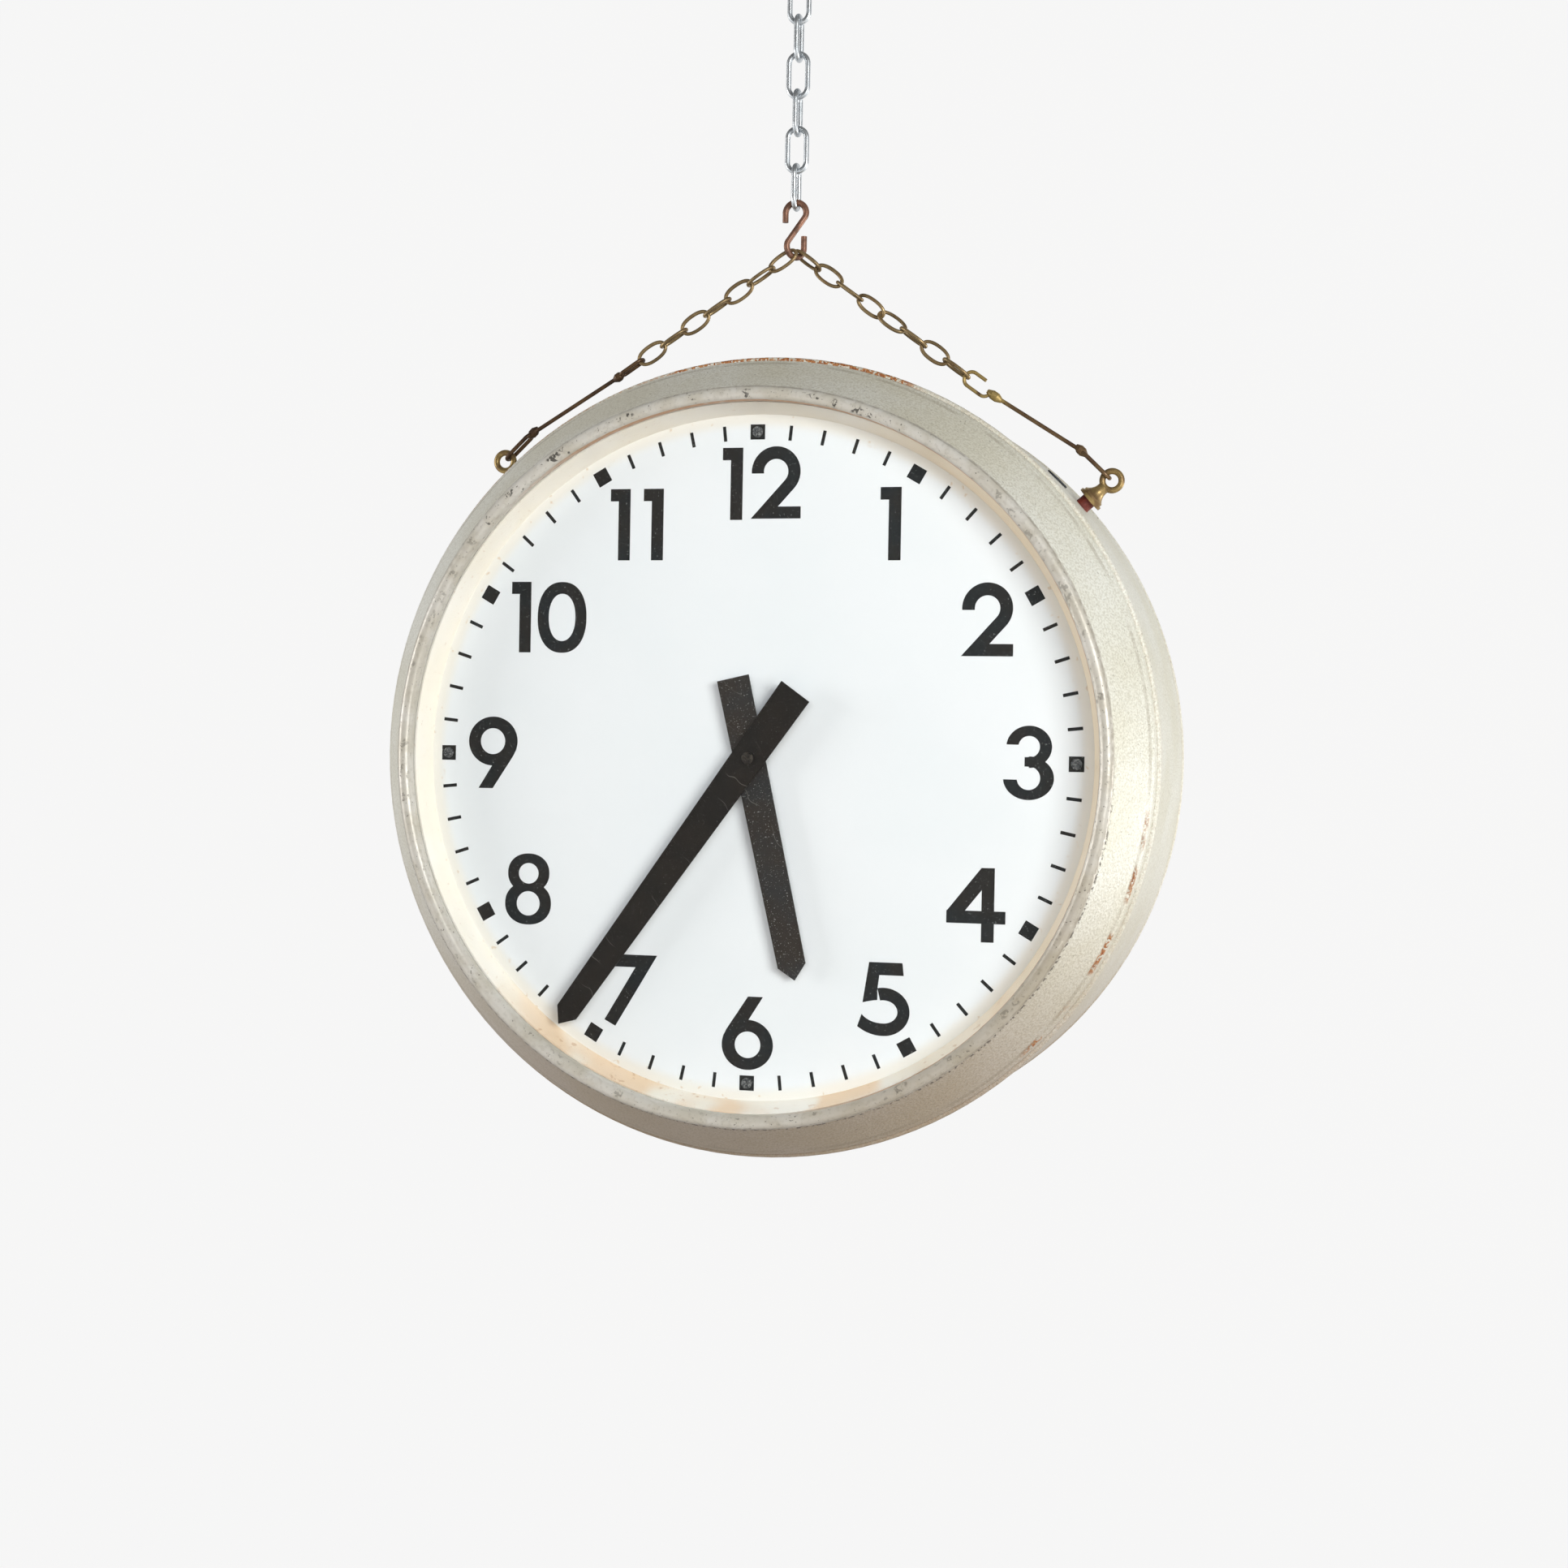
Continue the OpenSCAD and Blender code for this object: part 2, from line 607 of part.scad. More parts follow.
// Bezel: a hollow bead that stands on the shell's flange, with a leg down to the gasket
module bezel() turned() {
    intersection() {
        translate([bezel_mid_r, bezel_mid_d]) difference() {
            circle(r = bead_r);
            circle(r = bead_r - bezel_t);
        }
        union() {
            translate([bezel_in_r - 1, bezel_mid_d]) square([bead_r + 1, bezel_w]);
            translate([bezel_mid_r - 1, rim_d]) square([bead_r + 2, bezel_w]);
        }
    }
    translate([bezel_in_r, leg_end_d]) square([bezel_t, bezel_mid_d - leg_end_d]);
}

module front_bezel() color("silver") front() bezel();
module rear_bezel() color("silver") rear() bezel();

module glass_gaskets() color("black") both() turned() polygon([
    [glass_r + slip_fit, glass_back_d], [gasket_out_r, glass_back_d], [gasket_out_r, rim_d - sheet_t],
    [glass_r + slip_fit, rim_d - sheet_t], [glass_r + slip_fit, leg_end_d], [bezel_in_r + 0.2, leg_end_d],
    [bezel_in_r + 0.2, glass_front_d], [glass_r + slip_fit, glass_front_d]
]);

module glass() layer(glass_back_d, glass_t) circle(r = glass_r);

module front_glass() color("lightcyan", 0.3) front() glass();
module rear_glass() color("lightcyan", 0.3) rear() glass();

module inner_ring() turned() polygon([
    [ring_foot_r, dial_d], [ring_foot_r + ring_t, dial_d], [ring_top_r + ring_t, glass_back_d - ring_t],
    [gasket_out_r, glass_back_d - ring_t], [gasket_out_r, glass_back_d], [ring_top_r, glass_back_d]
]);

module front_inner_ring() color("wheat") front() inner_ring();
module rear_inner_ring() color("wheat") rear() inner_ring();

// The four dial screws stand at twelve, three, six and nine
module at_screws() for (i = [0:3]) rotate(90 * i) translate([screw_ring_r, 0]) children();

module dial() layer(dial_back_d, dial_t) difference() {
    circle(r = dial_r);
    circle(r = hour_tube_r + 1.5);
    at_screws() circle(r = screw_shank_r + slip_fit, $fn = 32);
}

module front_dial() color("white") front() dial();
module rear_dial() color("white") rear() dial();

module dial_screws() color("black") both() difference() {
    union() {
        layer(dial_d, screw_head_h) at_screws() circle(d = dial_screw_head_d, $fn = 32);
        layer(dial_d - screw_len, screw_len + small) at_screws() circle(r = screw_shank_r, $fn = 32);
    }
    layer(dial_d + screw_head_h / 2, screw_head_h) at_screws() square([dial_screw_head_d + 1, slot_w], center = true);
}

module dial_pillars() color("gold") both() difference() {
    layer(frame_t / 2, dial_back_d - frame_t / 2) at_screws() circle(d = dial_pillar_d, $fn = 32);
    layer(dial_d - screw_len - 2, screw_len + 4) at_screws() circle(r = screw_shank_r + seat_fit, $fn = 32);
}

// Inner frame: a cross with a middle plate and a tab along the drum on three arms

module at_studs() for (x = [-stud_x, stud_x], z = [stud_low, stud_top]) translate([x, z]) children();

module arm_tab(a) at_angle(a) intersection() {
    rotate([90, 0, 0]) difference() {
        cylinder(r = drum_in_r - seat_fit, h = strap_w, center = true);
        cylinder(r = strap_in_r - 1, h = strap_w + 2, center = true);
    }
    translate([-arm_w / 2, -strap_w, 0]) cube([arm_w, 2 * strap_w, drum_r]);
}

module inner_frame() color("slategray") in_clock() union() {
    layer(-frame_t / 2, frame_t) difference() {
        union() {
            intersection() {
                circle(r = strap_in_r - seat_fit);
                union() {
                    square([arm_w, 2 * drum_r], center = true);
                    square([2 * drum_r, arm_w], center = true);
                }
            }
            translate([-mplate_x, mplate_low]) square([2 * mplate_x, mplate_top - mplate_low]);
        }
        at_studs() circle(r = screw_shank_r + seat_fit, $fn = 32);
        translate([-mplate_x + 16, mplate_low + 16]) square([2 * mplate_x - 32, mplate_top - mplate_low - 32]);
    }
    for (a = [90, 180, 270]) arm_tab(a);
}

// Block for the two line wires on the lower arm, with wire holes across and screw wells in front
module terminal_block() color("ivory") front() difference() {
    layer(frame_t / 2, block_t) translate([-block_w / 2, block_low]) square([block_w, block_h]);
    for (x = [-block_w / 4, block_w / 4]) {
        translate([x, -frame_t / 2 - 5, block_low - 2]) cylinder(d = 4, h = block_h + 4, $fn = 32);
        round_bar(x, block_low + block_h / 2, 2.4, frame_t / 2 + 8, frame_t / 2 + block_t + 6);
    }
}

// Movements

module gear_outline(teeth, mod) {
    pitch_r = teeth * mod / 2;
    step = 360 / teeth;
    root_r = pitch_r - 1.15 * mod;
    tip_r = pitch_r + 0.75 * mod;
    root_w = step * 0.27;
    tip_w = step * 0.11;
    polygon([for (i = [0:teeth - 1]) for (p = [[root_r, -root_w], [tip_r, -tip_w], [tip_r, tip_w], [root_r, root_w]])
        p[0] * [cos(i * step + p[1]), sin(i * step + p[1])]]);
}

module stud_place() translate(gear_distance * [cos(gear_turn), sin(gear_turn)]) children();

module movement_plate() difference() {
    translate([-mplate_x, mplate_low]) square([2 * mplate_x, mplate_top - mplate_low]);
    at_studs() circle(d = stud_d / 2 + slip_fit, $fn = 32);
    translate([armature_x, armature_z]) circle(r = 1 + run_fit, $fn = 32);
    for (x = [-mplate_x + 14, mplate_x - 14]) translate([x, stud_top - 6]) circle(r = 4);
}

module movement_plates() color("goldenrod") both() {
    layer(mback_d, mplate_t) difference() {
        movement_plate();
        circle(r = arbor_tip_r + run_fit, $fn = 32);
    }
    layer(mfront_d, mplate_t) difference() {
        movement_plate();
        circle(r = arbor_r + run_fit, $fn = 32);
        stud_place() circle(r = stud_r + seat_fit, $fn = 32);
    }
}

// Stud: a screwed end in the frame, a thick post, and a thin shank through both plates
module movement_studs() color("silver") both() union() {
    layer(frame_t / 2 - 1.7, 1.7 + small) at_studs() circle(r = screw_shank_r, $fn = 32);
    layer(frame_t / 2, mback_d - frame_t / 2) at_studs() circle(d = stud_d, $fn = 32);
    layer(mback_d - small, mface_d - mback_d + 4) at_studs() circle(d = stud_d / 2, $fn = 32);
}

module movement_spacers() color("silver") both() layer(mback_d + mplate_t, mplate_gap) at_studs() difference() {
    circle(d = stud_d, $fn = 32);
    circle(d = stud_d / 2 + slip_fit, $fn = 32);
}

module movement_nuts() color("silver") both() layer(mface_d, 3) at_studs() difference() {
    circle(r = stud_d / 2, $fn = 6);
    circle(r = stud_d / 4 + seat_fit, $fn = 32);
}

module wheel_studs() color("silver") both() translate([gear_distance * cos(gear_turn), 0, gear_distance * sin(gear_turn)])
    turned() polygon([
        [0, mfront_d], [stud_r, mfront_d], [stud_r, mface_d], [stud_flange_r, mface_d],
        [stud_flange_r, wheel_back_d - body_gap], [stud_r, wheel_back_d - body_gap],
        [stud_r, small_pinion_end_d + body_gap], [stud_flange_r, small_pinion_end_d + body_gap],
        [stud_flange_r, small_pinion_end_d + 1], [0, small_pinion_end_d + 1]
    ]);

// A block on the back plate with a thin leaf whose end stands at the ratchet teeth
module stop_pawls() color("steelblue") both() {
    leaf_x = stop_x + stop_w - small;
    tip_x = -ratchet_r - 0.5;
    layer(mback_d + mplate_t, ratchet_d + 3 - mback_d - mplate_t) translate([stop_x, stop_z]) square([stop_w, stop_h]);
    layer(ratchet_d - 0.5, ratchet_t + 1) polygon([
        [leaf_x, stop_z + 1], [leaf_x, stop_z + 1 + leaf_t], [tip_x, leaf_rise + leaf_t], [tip_x, leaf_rise]
    ]);
}

module magnet_cores() color("dimgray") both() {
    translate([-pole_x - 6, -mfront_d, yoke_top - yoke_h]) cube([2 * pole_x + 12, mplate_gap, yoke_h]);
    for (x = [-pole_x, pole_x]) translate([x, -coil_depth, yoke_top - small])
        cylinder(r = pole_r, h = pole_top - yoke_top + small, $fn = 40);
}

module coils() color("firebrick") both() for (x = [-pole_x, pole_x]) translate([x, -coil_depth, yoke_top])
    rotate_extrude() difference() {
        translate([pole_r + run_fit, 0]) square([coil_d / 2 - pole_r - run_fit, coil_h]);
        translate([coil_d / 2 - 1.2, 1.5]) square([2, coil_h - 3]);
    }

// Centre arbor with its pinion; its front end carries the minute hand
module centre_arbor() difference() {
    union() {
        turned() polygon([
            [0, mback_d], [arbor_tip_r, mback_d], [arbor_tip_r, mback_d + mplate_t + body_gap],
            [arbor_r, mback_d + mplate_t + body_gap], [arbor_r, ratchet_d - 3], [hour_tube_r, ratchet_d - 3],
            [hour_tube_r, ratchet_d], [arbor_r, ratchet_d], [arbor_r, minute_hand_d], [arbor_tip_r, minute_hand_d],
            [arbor_tip_r, minute_hand_d + hand_t], [0, minute_hand_d + hand_t]
        ]);
        layer(pinion_back_d, pinion_front_d - pinion_back_d) rotate(gear_turn) gear_outline(pinion_teeth, drive_module);
    }
    layer(minute_hand_d - 5, 10) circle(r = 1.25, $fn = 32);
}

module front_centre_arbor() color("silver") front() centre_arbor();
module rear_centre_arbor() color("silver") rear() centre_arbor();

module ratchet_wheel() layer(ratchet_d, ratchet_t) difference() {
    step = 360 / ratchet_teeth;
    polygon([for (i = [0:ratchet_teeth - 1]) for (p = [[ratchet_r, 0], [ratchet_r - tooth_h, 0.12]])
        p[0] * [cos((i + p[1]) * step), sin((i + p[1]) * step)]]);
    circle(r = arbor_r + seat_fit, $fn = 40);
    for (i = [0:4]) rotate(72 * i) translate([ratchet_r * 0.55, 0]) circle(r = ratchet_r * 0.22);
}

module front_ratchet_wheel() color("gold") front() ratchet_wheel();
module rear_ratchet_wheel() color("gold") rear() ratchet_wheel();

module minute_wheel() translate([gear_distance * cos(gear_turn), 0, gear_distance * sin(gear_turn)]) difference() {
    union() {
        layer(wheel_back_d, wheel_front_d - wheel_back_d)
            rotate(gear_turn + 180 + 180 / wheel_teeth) gear_outline(wheel_teeth, drive_module);
        layer(wheel_front_d - small, small_pinion_end_d - wheel_front_d + small)
            rotate(gear_turn + 180) gear_outline(pinion_teeth, hour_module);
    }
    layer(wheel_back_d - 1, small_pinion_end_d - wheel_back_d + 2) circle(r = stud_r + run_fit, $fn = 32);
}

module front_minute_wheel() color("gold") front() minute_wheel();
module rear_minute_wheel() color("gold") rear() minute_wheel();

// Hour wheel on a tube that runs on the centre arbor and carries the hour hand
module hour_wheel() difference() {
    union() {
        layer(hour_wheel_d, hour_wheel_t) rotate(gear_turn + 180 / hour_teeth) gear_outline(hour_teeth, hour_module);
        turned() polygon([
            [0, hour_back_d], [hour_tube_r, hour_back_d], [hour_tube_r, hour_hand_d],
            [hour_seat_r, hour_hand_d], [hour_seat_r, hour_hand_d + hand_t], [0, hour_hand_d + hand_t]
        ]);
    }
    layer(hour_back_d - 1, hour_hand_d - hour_back_d + 4) circle(r = arbor_r + run_fit, $fn = 40);
}

module front_hour_wheel() color("gold") front() hour_wheel();
module rear_hour_wheel() color("gold") rear() hour_wheel();

// A hand: square tail, slow taper and a gabled tip, with a round hub behind it
module hand_outline(len, tail, tail_w, tip_w, point) polygon([
    [-tail_w / 2, -tail], [tail_w / 2, -tail], [tip_w / 2, len - point], [0, len], [-tip_w / 2, len - point]
]);

module minute_hand() rotate([0, minute_turn, 0]) difference() {
    union() {
        layer(minute_hand_d, hand_t) hand_outline(minute_len, minute_tail, minute_tail_w, minute_tip_w, tip_point);
        layer(minute_hand_d - hub_t, hub_t + small) circle(r = hub_r);
        layer(minute_hand_d + hand_t - small, rivet_h + small) translate([0, minute_rivet]) circle(r = rivet_r, $fn = 32);
    }
    layer(minute_hand_d, 2 * hand_t) circle(r = arbor_tip_r + seat_fit, $fn = 32);
    layer(minute_hand_d - 2 * hub_t, 2 * hub_t) circle(r = arbor_r + seat_fit, $fn = 32);
}

module hour_hand() rotate([0, hour_turn, 0]) difference() {
    union() {
        layer(hour_hand_d, hand_t) hand_outline(hour_len, hour_tail, hour_tail_w, hour_tip_w, tip_point);
        layer(hour_hand_d - hub_t, hub_t + small) circle(r = hub_r);
        layer(hour_hand_d + hand_t - small, rivet_h + small) translate([0, hour_rivet]) circle(r = rivet_r, $fn = 32);
    }
    layer(hour_hand_d, 2 * hand_t) circle(r = hour_seat_r + seat_fit, $fn = 32);
    layer(hour_hand_d - 2 * hub_t, 2 * hub_t) circle(r = hour_tube_r + seat_fit, $fn = 32);
}

module front_minute_hand() color("black") front() minute_hand();
module rear_minute_hand() color("black") rear() minute_hand();
module front_hour_hand() color("black") front() hour_hand();
module rear_hour_hand() color("black") rear() hour_hand();

module hub_screw() difference() {
    turned() polygon([
        [0, minute_hand_d - 4], [1.2, minute_hand_d - 4], [1.2, minute_hand_d + hand_t],
        [hub_screw_r, minute_hand_d + hand_t], [hub_screw_r, minute_hand_d + hand_t + hub_screw_h * 0.6],
        [hub_screw_r - 0.6, minute_hand_d + hand_t + hub_screw_h], [0, minute_hand_d + hand_t + hub_screw_h]
    ]);
    layer(minute_hand_d + hand_t + hub_screw_h / 2, hub_screw_h) circle(r = hub_screw_r * 0.45, $fn = 32);
}

module front_hub_screw() color("dimgray") front() hub_screw();
module rear_hub_screw() color("dimgray") rear() hub_screw();

// Armature: a bar across the poles on a pivot between the plates
module armature() union() {
    layer(coil_depth - 5, 10) translate([armature_x, armature_z - armature_half])
        square([armature_end - armature_x, 2 * armature_half]);
    round_bar(armature_x, armature_z, 3, mback_d + mplate_t + body_gap, mfront_d - body_gap);
    round_bar(armature_x, armature_z, 1, mback_d + body_gap, mface_d - body_gap);
}

module front_armature() color("gray") front() armature();
module rear_armature() color("gray") rear() armature();

// Drive pawl: a strip from the armature's end up to the side of the ratchet wheel
module drive_pawl() layer(ratchet_d - 0.5, ratchet_t + 1) polygon([
    [armature_end, armature_z - 2], [armature_end + 2, armature_z - 2], [armature_end + 2, 4],
    [armature_end, 4], [armature_end - 0.8, 0], [armature_end, 0]
]);

module front_drive_pawl() color("steelblue") front() drive_pawl();
module rear_drive_pawl() color("steelblue") rear() drive_pawl();

ceiling_plate();
ceiling_hook();
chain_link(1);  // chain_link_1
chain_link(2);  // chain_link_2
chain_link(3);  // chain_link_3
chain_link(4);  // chain_link_4
chain_link(5);  // chain_link_5
chain_link(6);  // chain_link_6
s_hook();
bridle_links();
bridle_rod_left();
bridle_rod_right();
eye_bolts();
eye_ferrules();
eye_spacers();
eye_nuts();
drum();
suspension_strap();
cable_plug();
inner_frame();
terminal_block();
front_shell();
rear_shell();
front_bezel();
rear_bezel();
glass_gaskets();
front_glass();
rear_glass();
front_inner_ring();
rear_inner_ring();
front_dial();
rear_dial();
dial_screws();
dial_pillars();
front_minute_hand();
rear_minute_hand();
front_hour_hand();
rear_hour_hand();
front_hub_screw();
rear_hub_screw();
movement_plates();
movement_studs();
movement_spacers();
movement_nuts();
wheel_studs();
stop_pawls();
magnet_cores();
coils();
front_centre_arbor();
rear_centre_arbor();
front_ratchet_wheel();
rear_ratchet_wheel();
front_minute_wheel();
rear_minute_wheel();
front_hour_wheel();
rear_hour_wheel();
front_armature();
rear_armature();
front_drive_pawl();
rear_drive_pawl();
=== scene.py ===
"""Dresses the double-faced hanging clock: dial print, brass links, finishes, studio and camera."""

import json
import logging
import math
from dataclasses import dataclass, field
from enum import Enum
from typing import Any

import bmesh
import bpy
from mathutils import Matrix, Vector
from mathutils.geometry import delaunay_2d_cdt

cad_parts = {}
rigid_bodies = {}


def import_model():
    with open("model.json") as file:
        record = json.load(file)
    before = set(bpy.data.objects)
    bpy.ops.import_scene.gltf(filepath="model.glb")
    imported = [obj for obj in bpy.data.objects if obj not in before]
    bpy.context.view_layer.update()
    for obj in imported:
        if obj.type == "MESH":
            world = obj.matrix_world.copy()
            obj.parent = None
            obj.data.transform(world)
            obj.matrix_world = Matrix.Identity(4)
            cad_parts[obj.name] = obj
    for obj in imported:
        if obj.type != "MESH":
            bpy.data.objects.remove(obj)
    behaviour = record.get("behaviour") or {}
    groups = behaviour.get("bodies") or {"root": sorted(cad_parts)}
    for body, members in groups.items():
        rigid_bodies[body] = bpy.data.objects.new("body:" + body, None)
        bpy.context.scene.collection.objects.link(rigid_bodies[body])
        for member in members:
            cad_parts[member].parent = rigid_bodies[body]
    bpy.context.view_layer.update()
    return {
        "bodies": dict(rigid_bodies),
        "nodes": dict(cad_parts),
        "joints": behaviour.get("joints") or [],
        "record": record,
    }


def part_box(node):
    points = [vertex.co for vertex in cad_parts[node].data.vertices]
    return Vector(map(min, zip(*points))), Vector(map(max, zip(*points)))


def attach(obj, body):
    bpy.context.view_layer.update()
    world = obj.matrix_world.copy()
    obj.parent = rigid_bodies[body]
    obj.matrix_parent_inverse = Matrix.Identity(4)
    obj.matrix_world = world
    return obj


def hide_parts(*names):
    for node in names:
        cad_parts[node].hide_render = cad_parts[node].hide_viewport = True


LOG = logging.getLogger("clock")
MM = 0.001
Point = tuple[float, float]
Outline = list[Point]
Tree = bpy.types.NodeTree
Node = bpy.types.Node
Socket = bpy.types.NodeSocket


class Side(Enum):
    """The two faces of the clock: the sign of Y that each one looks along."""

    FRONT = -1
    REAR = 1

    @property
    def label(self) -> str:
        """The word that starts the names of this side's pieces."""
        return self.name.lower()

    @property
    def turn(self) -> Matrix:
        """The turn about the vertical that takes the front face to this side."""
        return Matrix.Rotation(0.0 if self is Side.FRONT else math.pi, 4, "Z")


def linear(code: str) -> tuple[float, float, float, float]:
    """Turns an sRGB hex colour into the linear colour that shaders use.

    Args:
        code: Six hex digits, without a leading sign.

    Returns:
        Red, green and blue from 0 to 1, and an alpha of 1.
    """
    parts = [int(code[i : i + 2], 16) / 255 for i in (0, 2, 4)]
    red, green, blue = (c / 12.92 if c <= 0.04045 else ((c + 0.055) / 1.055) ** 2.4 for c in parts)
    return red, green, blue, 1.0


def add_node(tree: Tree, kind: str, links: dict[int | str, Any] | None = None, **settings: Any) -> Node:
    """Adds a node with its settings, input values and links.

    Args:
        tree: The node tree to add to.
        kind: The node's type, such as ShaderNodeMath.
        links: For each input, by place or name, a value, a socket, or a node whose first live output is used.
        **settings: Attributes of the node, set before its inputs.

    Returns:
        The new node.
    """
    node = tree.nodes.new(kind)
    for name, value in settings.items():
        setattr(node, name, value)
    for key, value in (links or {}).items():
        named = [s for s in node.inputs if s.enabled and s.name == key]
        socket = node.inputs[key] if isinstance(key, int) else named[0]
        if isinstance(value, Node):
            value = next(s for s in value.outputs if s.enabled)
        if isinstance(value, Socket):
            tree.links.new(value, socket)
        else:
            socket.default_value = value
    return node


def new_piece(name: str, mesh: bpy.types.Mesh, body: str, finish: "Finish") -> bpy.types.Object:
    """Puts a mesh in the scene as a piece that rides on a body.

    Args:
        name: The piece's name.
        mesh: Its mesh, in the frame's metres.
        body: The body that it moves with.
        finish: What it is finished with.

    Returns:
        The new object.
    """
    piece = bpy.data.objects.new(name, mesh)
    bpy.context.scene.collection.objects.link(piece)
    mesh.materials.append(finish.material())
    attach(piece, body)
    LOG.info("piece %s: %d faces on %s", name, len(mesh.polygons), body)
    return piece


def grain(tree: Tree, place: Socket, size: float, low: float, high: float, detail: float = 3.0) -> Socket:
    """Makes a mask of cloudy patches of one size.

    Args:
        tree: The material's node tree.
        place: The point's place in millimetres.
        size: The patches' size in millimetres.
        low: The noise value that becomes 0.
        high: The noise value that becomes 1.
        detail: How many finer layers are added.

    Returns:
        The socket that holds the mask.
    """
    cloud = add_node(tree, "ShaderNodeTexNoise", {"Vector": place, "Scale": 1 / size, "Detail": detail})
    stretch = {"Value": cloud.outputs[0], "From Min": low, "From Max": high}
    return add_node(tree, "ShaderNodeMapRange", stretch, interpolation_type="SMOOTHSTEP").outputs[0]


def overlap(tree: Tree, *masks: Socket | float) -> Socket:
    """Makes a mask that holds only where all the given ones do, by multiplying them.

    Args:
        tree: The material's node tree.
        *masks: The masks, or shares from 0 to 1.

    Returns:
        The socket that holds the mask.
    """
    product = masks[0]
    for mask in masks[1:]:
        product = add_node(tree, "ShaderNodeMath", {0: product, 1: mask}, operation="MULTIPLY").outputs[0]
    return product


def band(tree: Tree, value: Socket, low: float, high: float, edge: float) -> Socket:
    """Makes a mask that is 1 between two values.

    Args:
        tree: The material's node tree.
        value: The value to test.
        low: Where the band starts.
        high: Where it ends.
        edge: The width of its soft edges.

    Returns:
        The socket that holds the mask.
    """
    sides = []
    for outer, inner in ((low - edge, low), (high + edge, high)):
        ramp = {"Value": value, "From Min": outer, "From Max": inner}
        sides.append(add_node(tree, "ShaderNodeMapRange", ramp, interpolation_type="SMOOTHSTEP").outputs[0])
    return overlap(tree, *sides)


def coat(tree: Tree, below: Socket | str, above: Socket | str, share: float, *masks: Socket) -> Socket:
    """Lays a coat of one colour over another where all the masks hold.

    Args:
        tree: The material's node tree.
        below: The lower colour, a hex code or a socket.
        above: The upper colour, a hex code or a socket.
        share: How much of the upper colour shows at most.
        *masks: Where it shows.

    Returns:
        The socket that holds the colour.
    """
    lower, upper = (linear(c) if isinstance(c, str) else c for c in (below, above))
    inputs = {"Factor": overlap(tree, share, *masks), "A": lower, "B": upper}
    mixed = add_node(tree, "ShaderNodeMix", inputs, data_type="RGBA")
    return next(s for s in mixed.outputs if s.enabled)


def relief(tree: Tree, shader: Node, height: Socket, depth_mm: float, under: Node | None = None) -> Node:
    """Feeds a height into the shader's normal.

    Args:
        tree: The material's node tree.
        shader: The shader that gets the normal.
        height: The height, from 0 to 1.
        depth_mm: How many millimetres a height of 1 is.
        under: An earlier bump node that lies below this one.

    Returns:
        The bump node.
    """
    inputs = {"Height": height, "Distance": depth_mm * MM}
    if under is not None:
        inputs["Normal"] = under
    bump = add_node(tree, "ShaderNodeBump", inputs)
    tree.links.new(bump.outputs[0], shader.inputs["Normal"])
    return bump


def vary(tree: Tree, socket: Socket, mask: Socket, low: float, high: float) -> None:
    """Feeds an input from one value to another as a mask goes from 0 to 1.

    Args:
        tree: The material's node tree.
        socket: The input.
        mask: The mask.
        low: The input's value where the mask is 0.
        high: Its value where the mask is 1.
    """
    spread = add_node(tree, "ShaderNodeMapRange", {"Value": mask, "To Min": low, "To Max": high})
    tree.links.new(spread.outputs[0], socket)


@dataclass(frozen=True)
class Finish:
    """A surface finish. Patterns are drawn in millimetres of the part's own frame."""

    name: str

    def material(self) -> bpy.types.Material:
        """Makes the finish's material the first time that it is asked for.

        Returns:
            The material.
        """
        known = bpy.data.materials.get(self.name)
        if known is not None:
            return known
        made = bpy.data.materials.new(self.name)
        made.use_nodes = True
        tree = made.node_tree
        where = add_node(tree, "ShaderNodeTexCoord").outputs["Object"]
        place = add_node(tree, "ShaderNodeVectorMath", {0: where, 3: 1 / MM}, operation="SCALE")
        self.paint(tree, tree.nodes["Principled BSDF"], place.outputs[0])
        return made

    def paint(self, tree: Tree, shader: Node, place: Socket) -> None:
        """Builds the nodes that feed the shader.

        Args:
            tree: The material's node tree.
            shader: Its Principled BSDF.
            place: The point's place in millimetres.
        """
        raise NotImplementedError


@dataclass(frozen=True)
class AroundClock:
    """The point's radius, depth and clock angle in a material, measured from the middle of the case."""

    centre_z: float

    def split(self, tree: Tree, place: Socket) -> tuple[Socket, Socket, Socket, Socket]:
        """Works out radius, depth, angle and how far the angle is from twelve.

        Args:
            tree: The material's node tree.
            place: The point's place in millimetres.

        Returns:
            Radius and depth in millimetres, degrees clockwise from twelve, and the same without their sign.
        """
        from_middle = {0: place, 1: (0, 0, self.centre_z)}
        middle = add_node(tree, "ShaderNodeVectorMath", from_middle, operation="SUBTRACT")
        axes = add_node(tree, "ShaderNodeSeparateXYZ", {0: middle}).outputs
        flat = add_node(tree, "ShaderNodeCombineXYZ", {0: axes[0], 2: axes[2]})
        radius = add_node(tree, "ShaderNodeVectorMath", {0: flat}, operation="LENGTH").outputs["Value"]
        depth = add_node(tree, "ShaderNodeMath", {0: axes[1]}, operation="ABSOLUTE").outputs[0]
        turn = add_node(tree, "ShaderNodeMath", {0: axes[0], 1: axes[2]}, operation="ARCTAN2")
        angle = add_node(tree, "ShaderNodeMath", {0: turn}, operation="DEGREES").outputs[0]
        away = add_node(tree, "ShaderNodeMath", {0: angle}, operation="ABSOLUTE").outputs[0]
        return radius, depth, angle, away


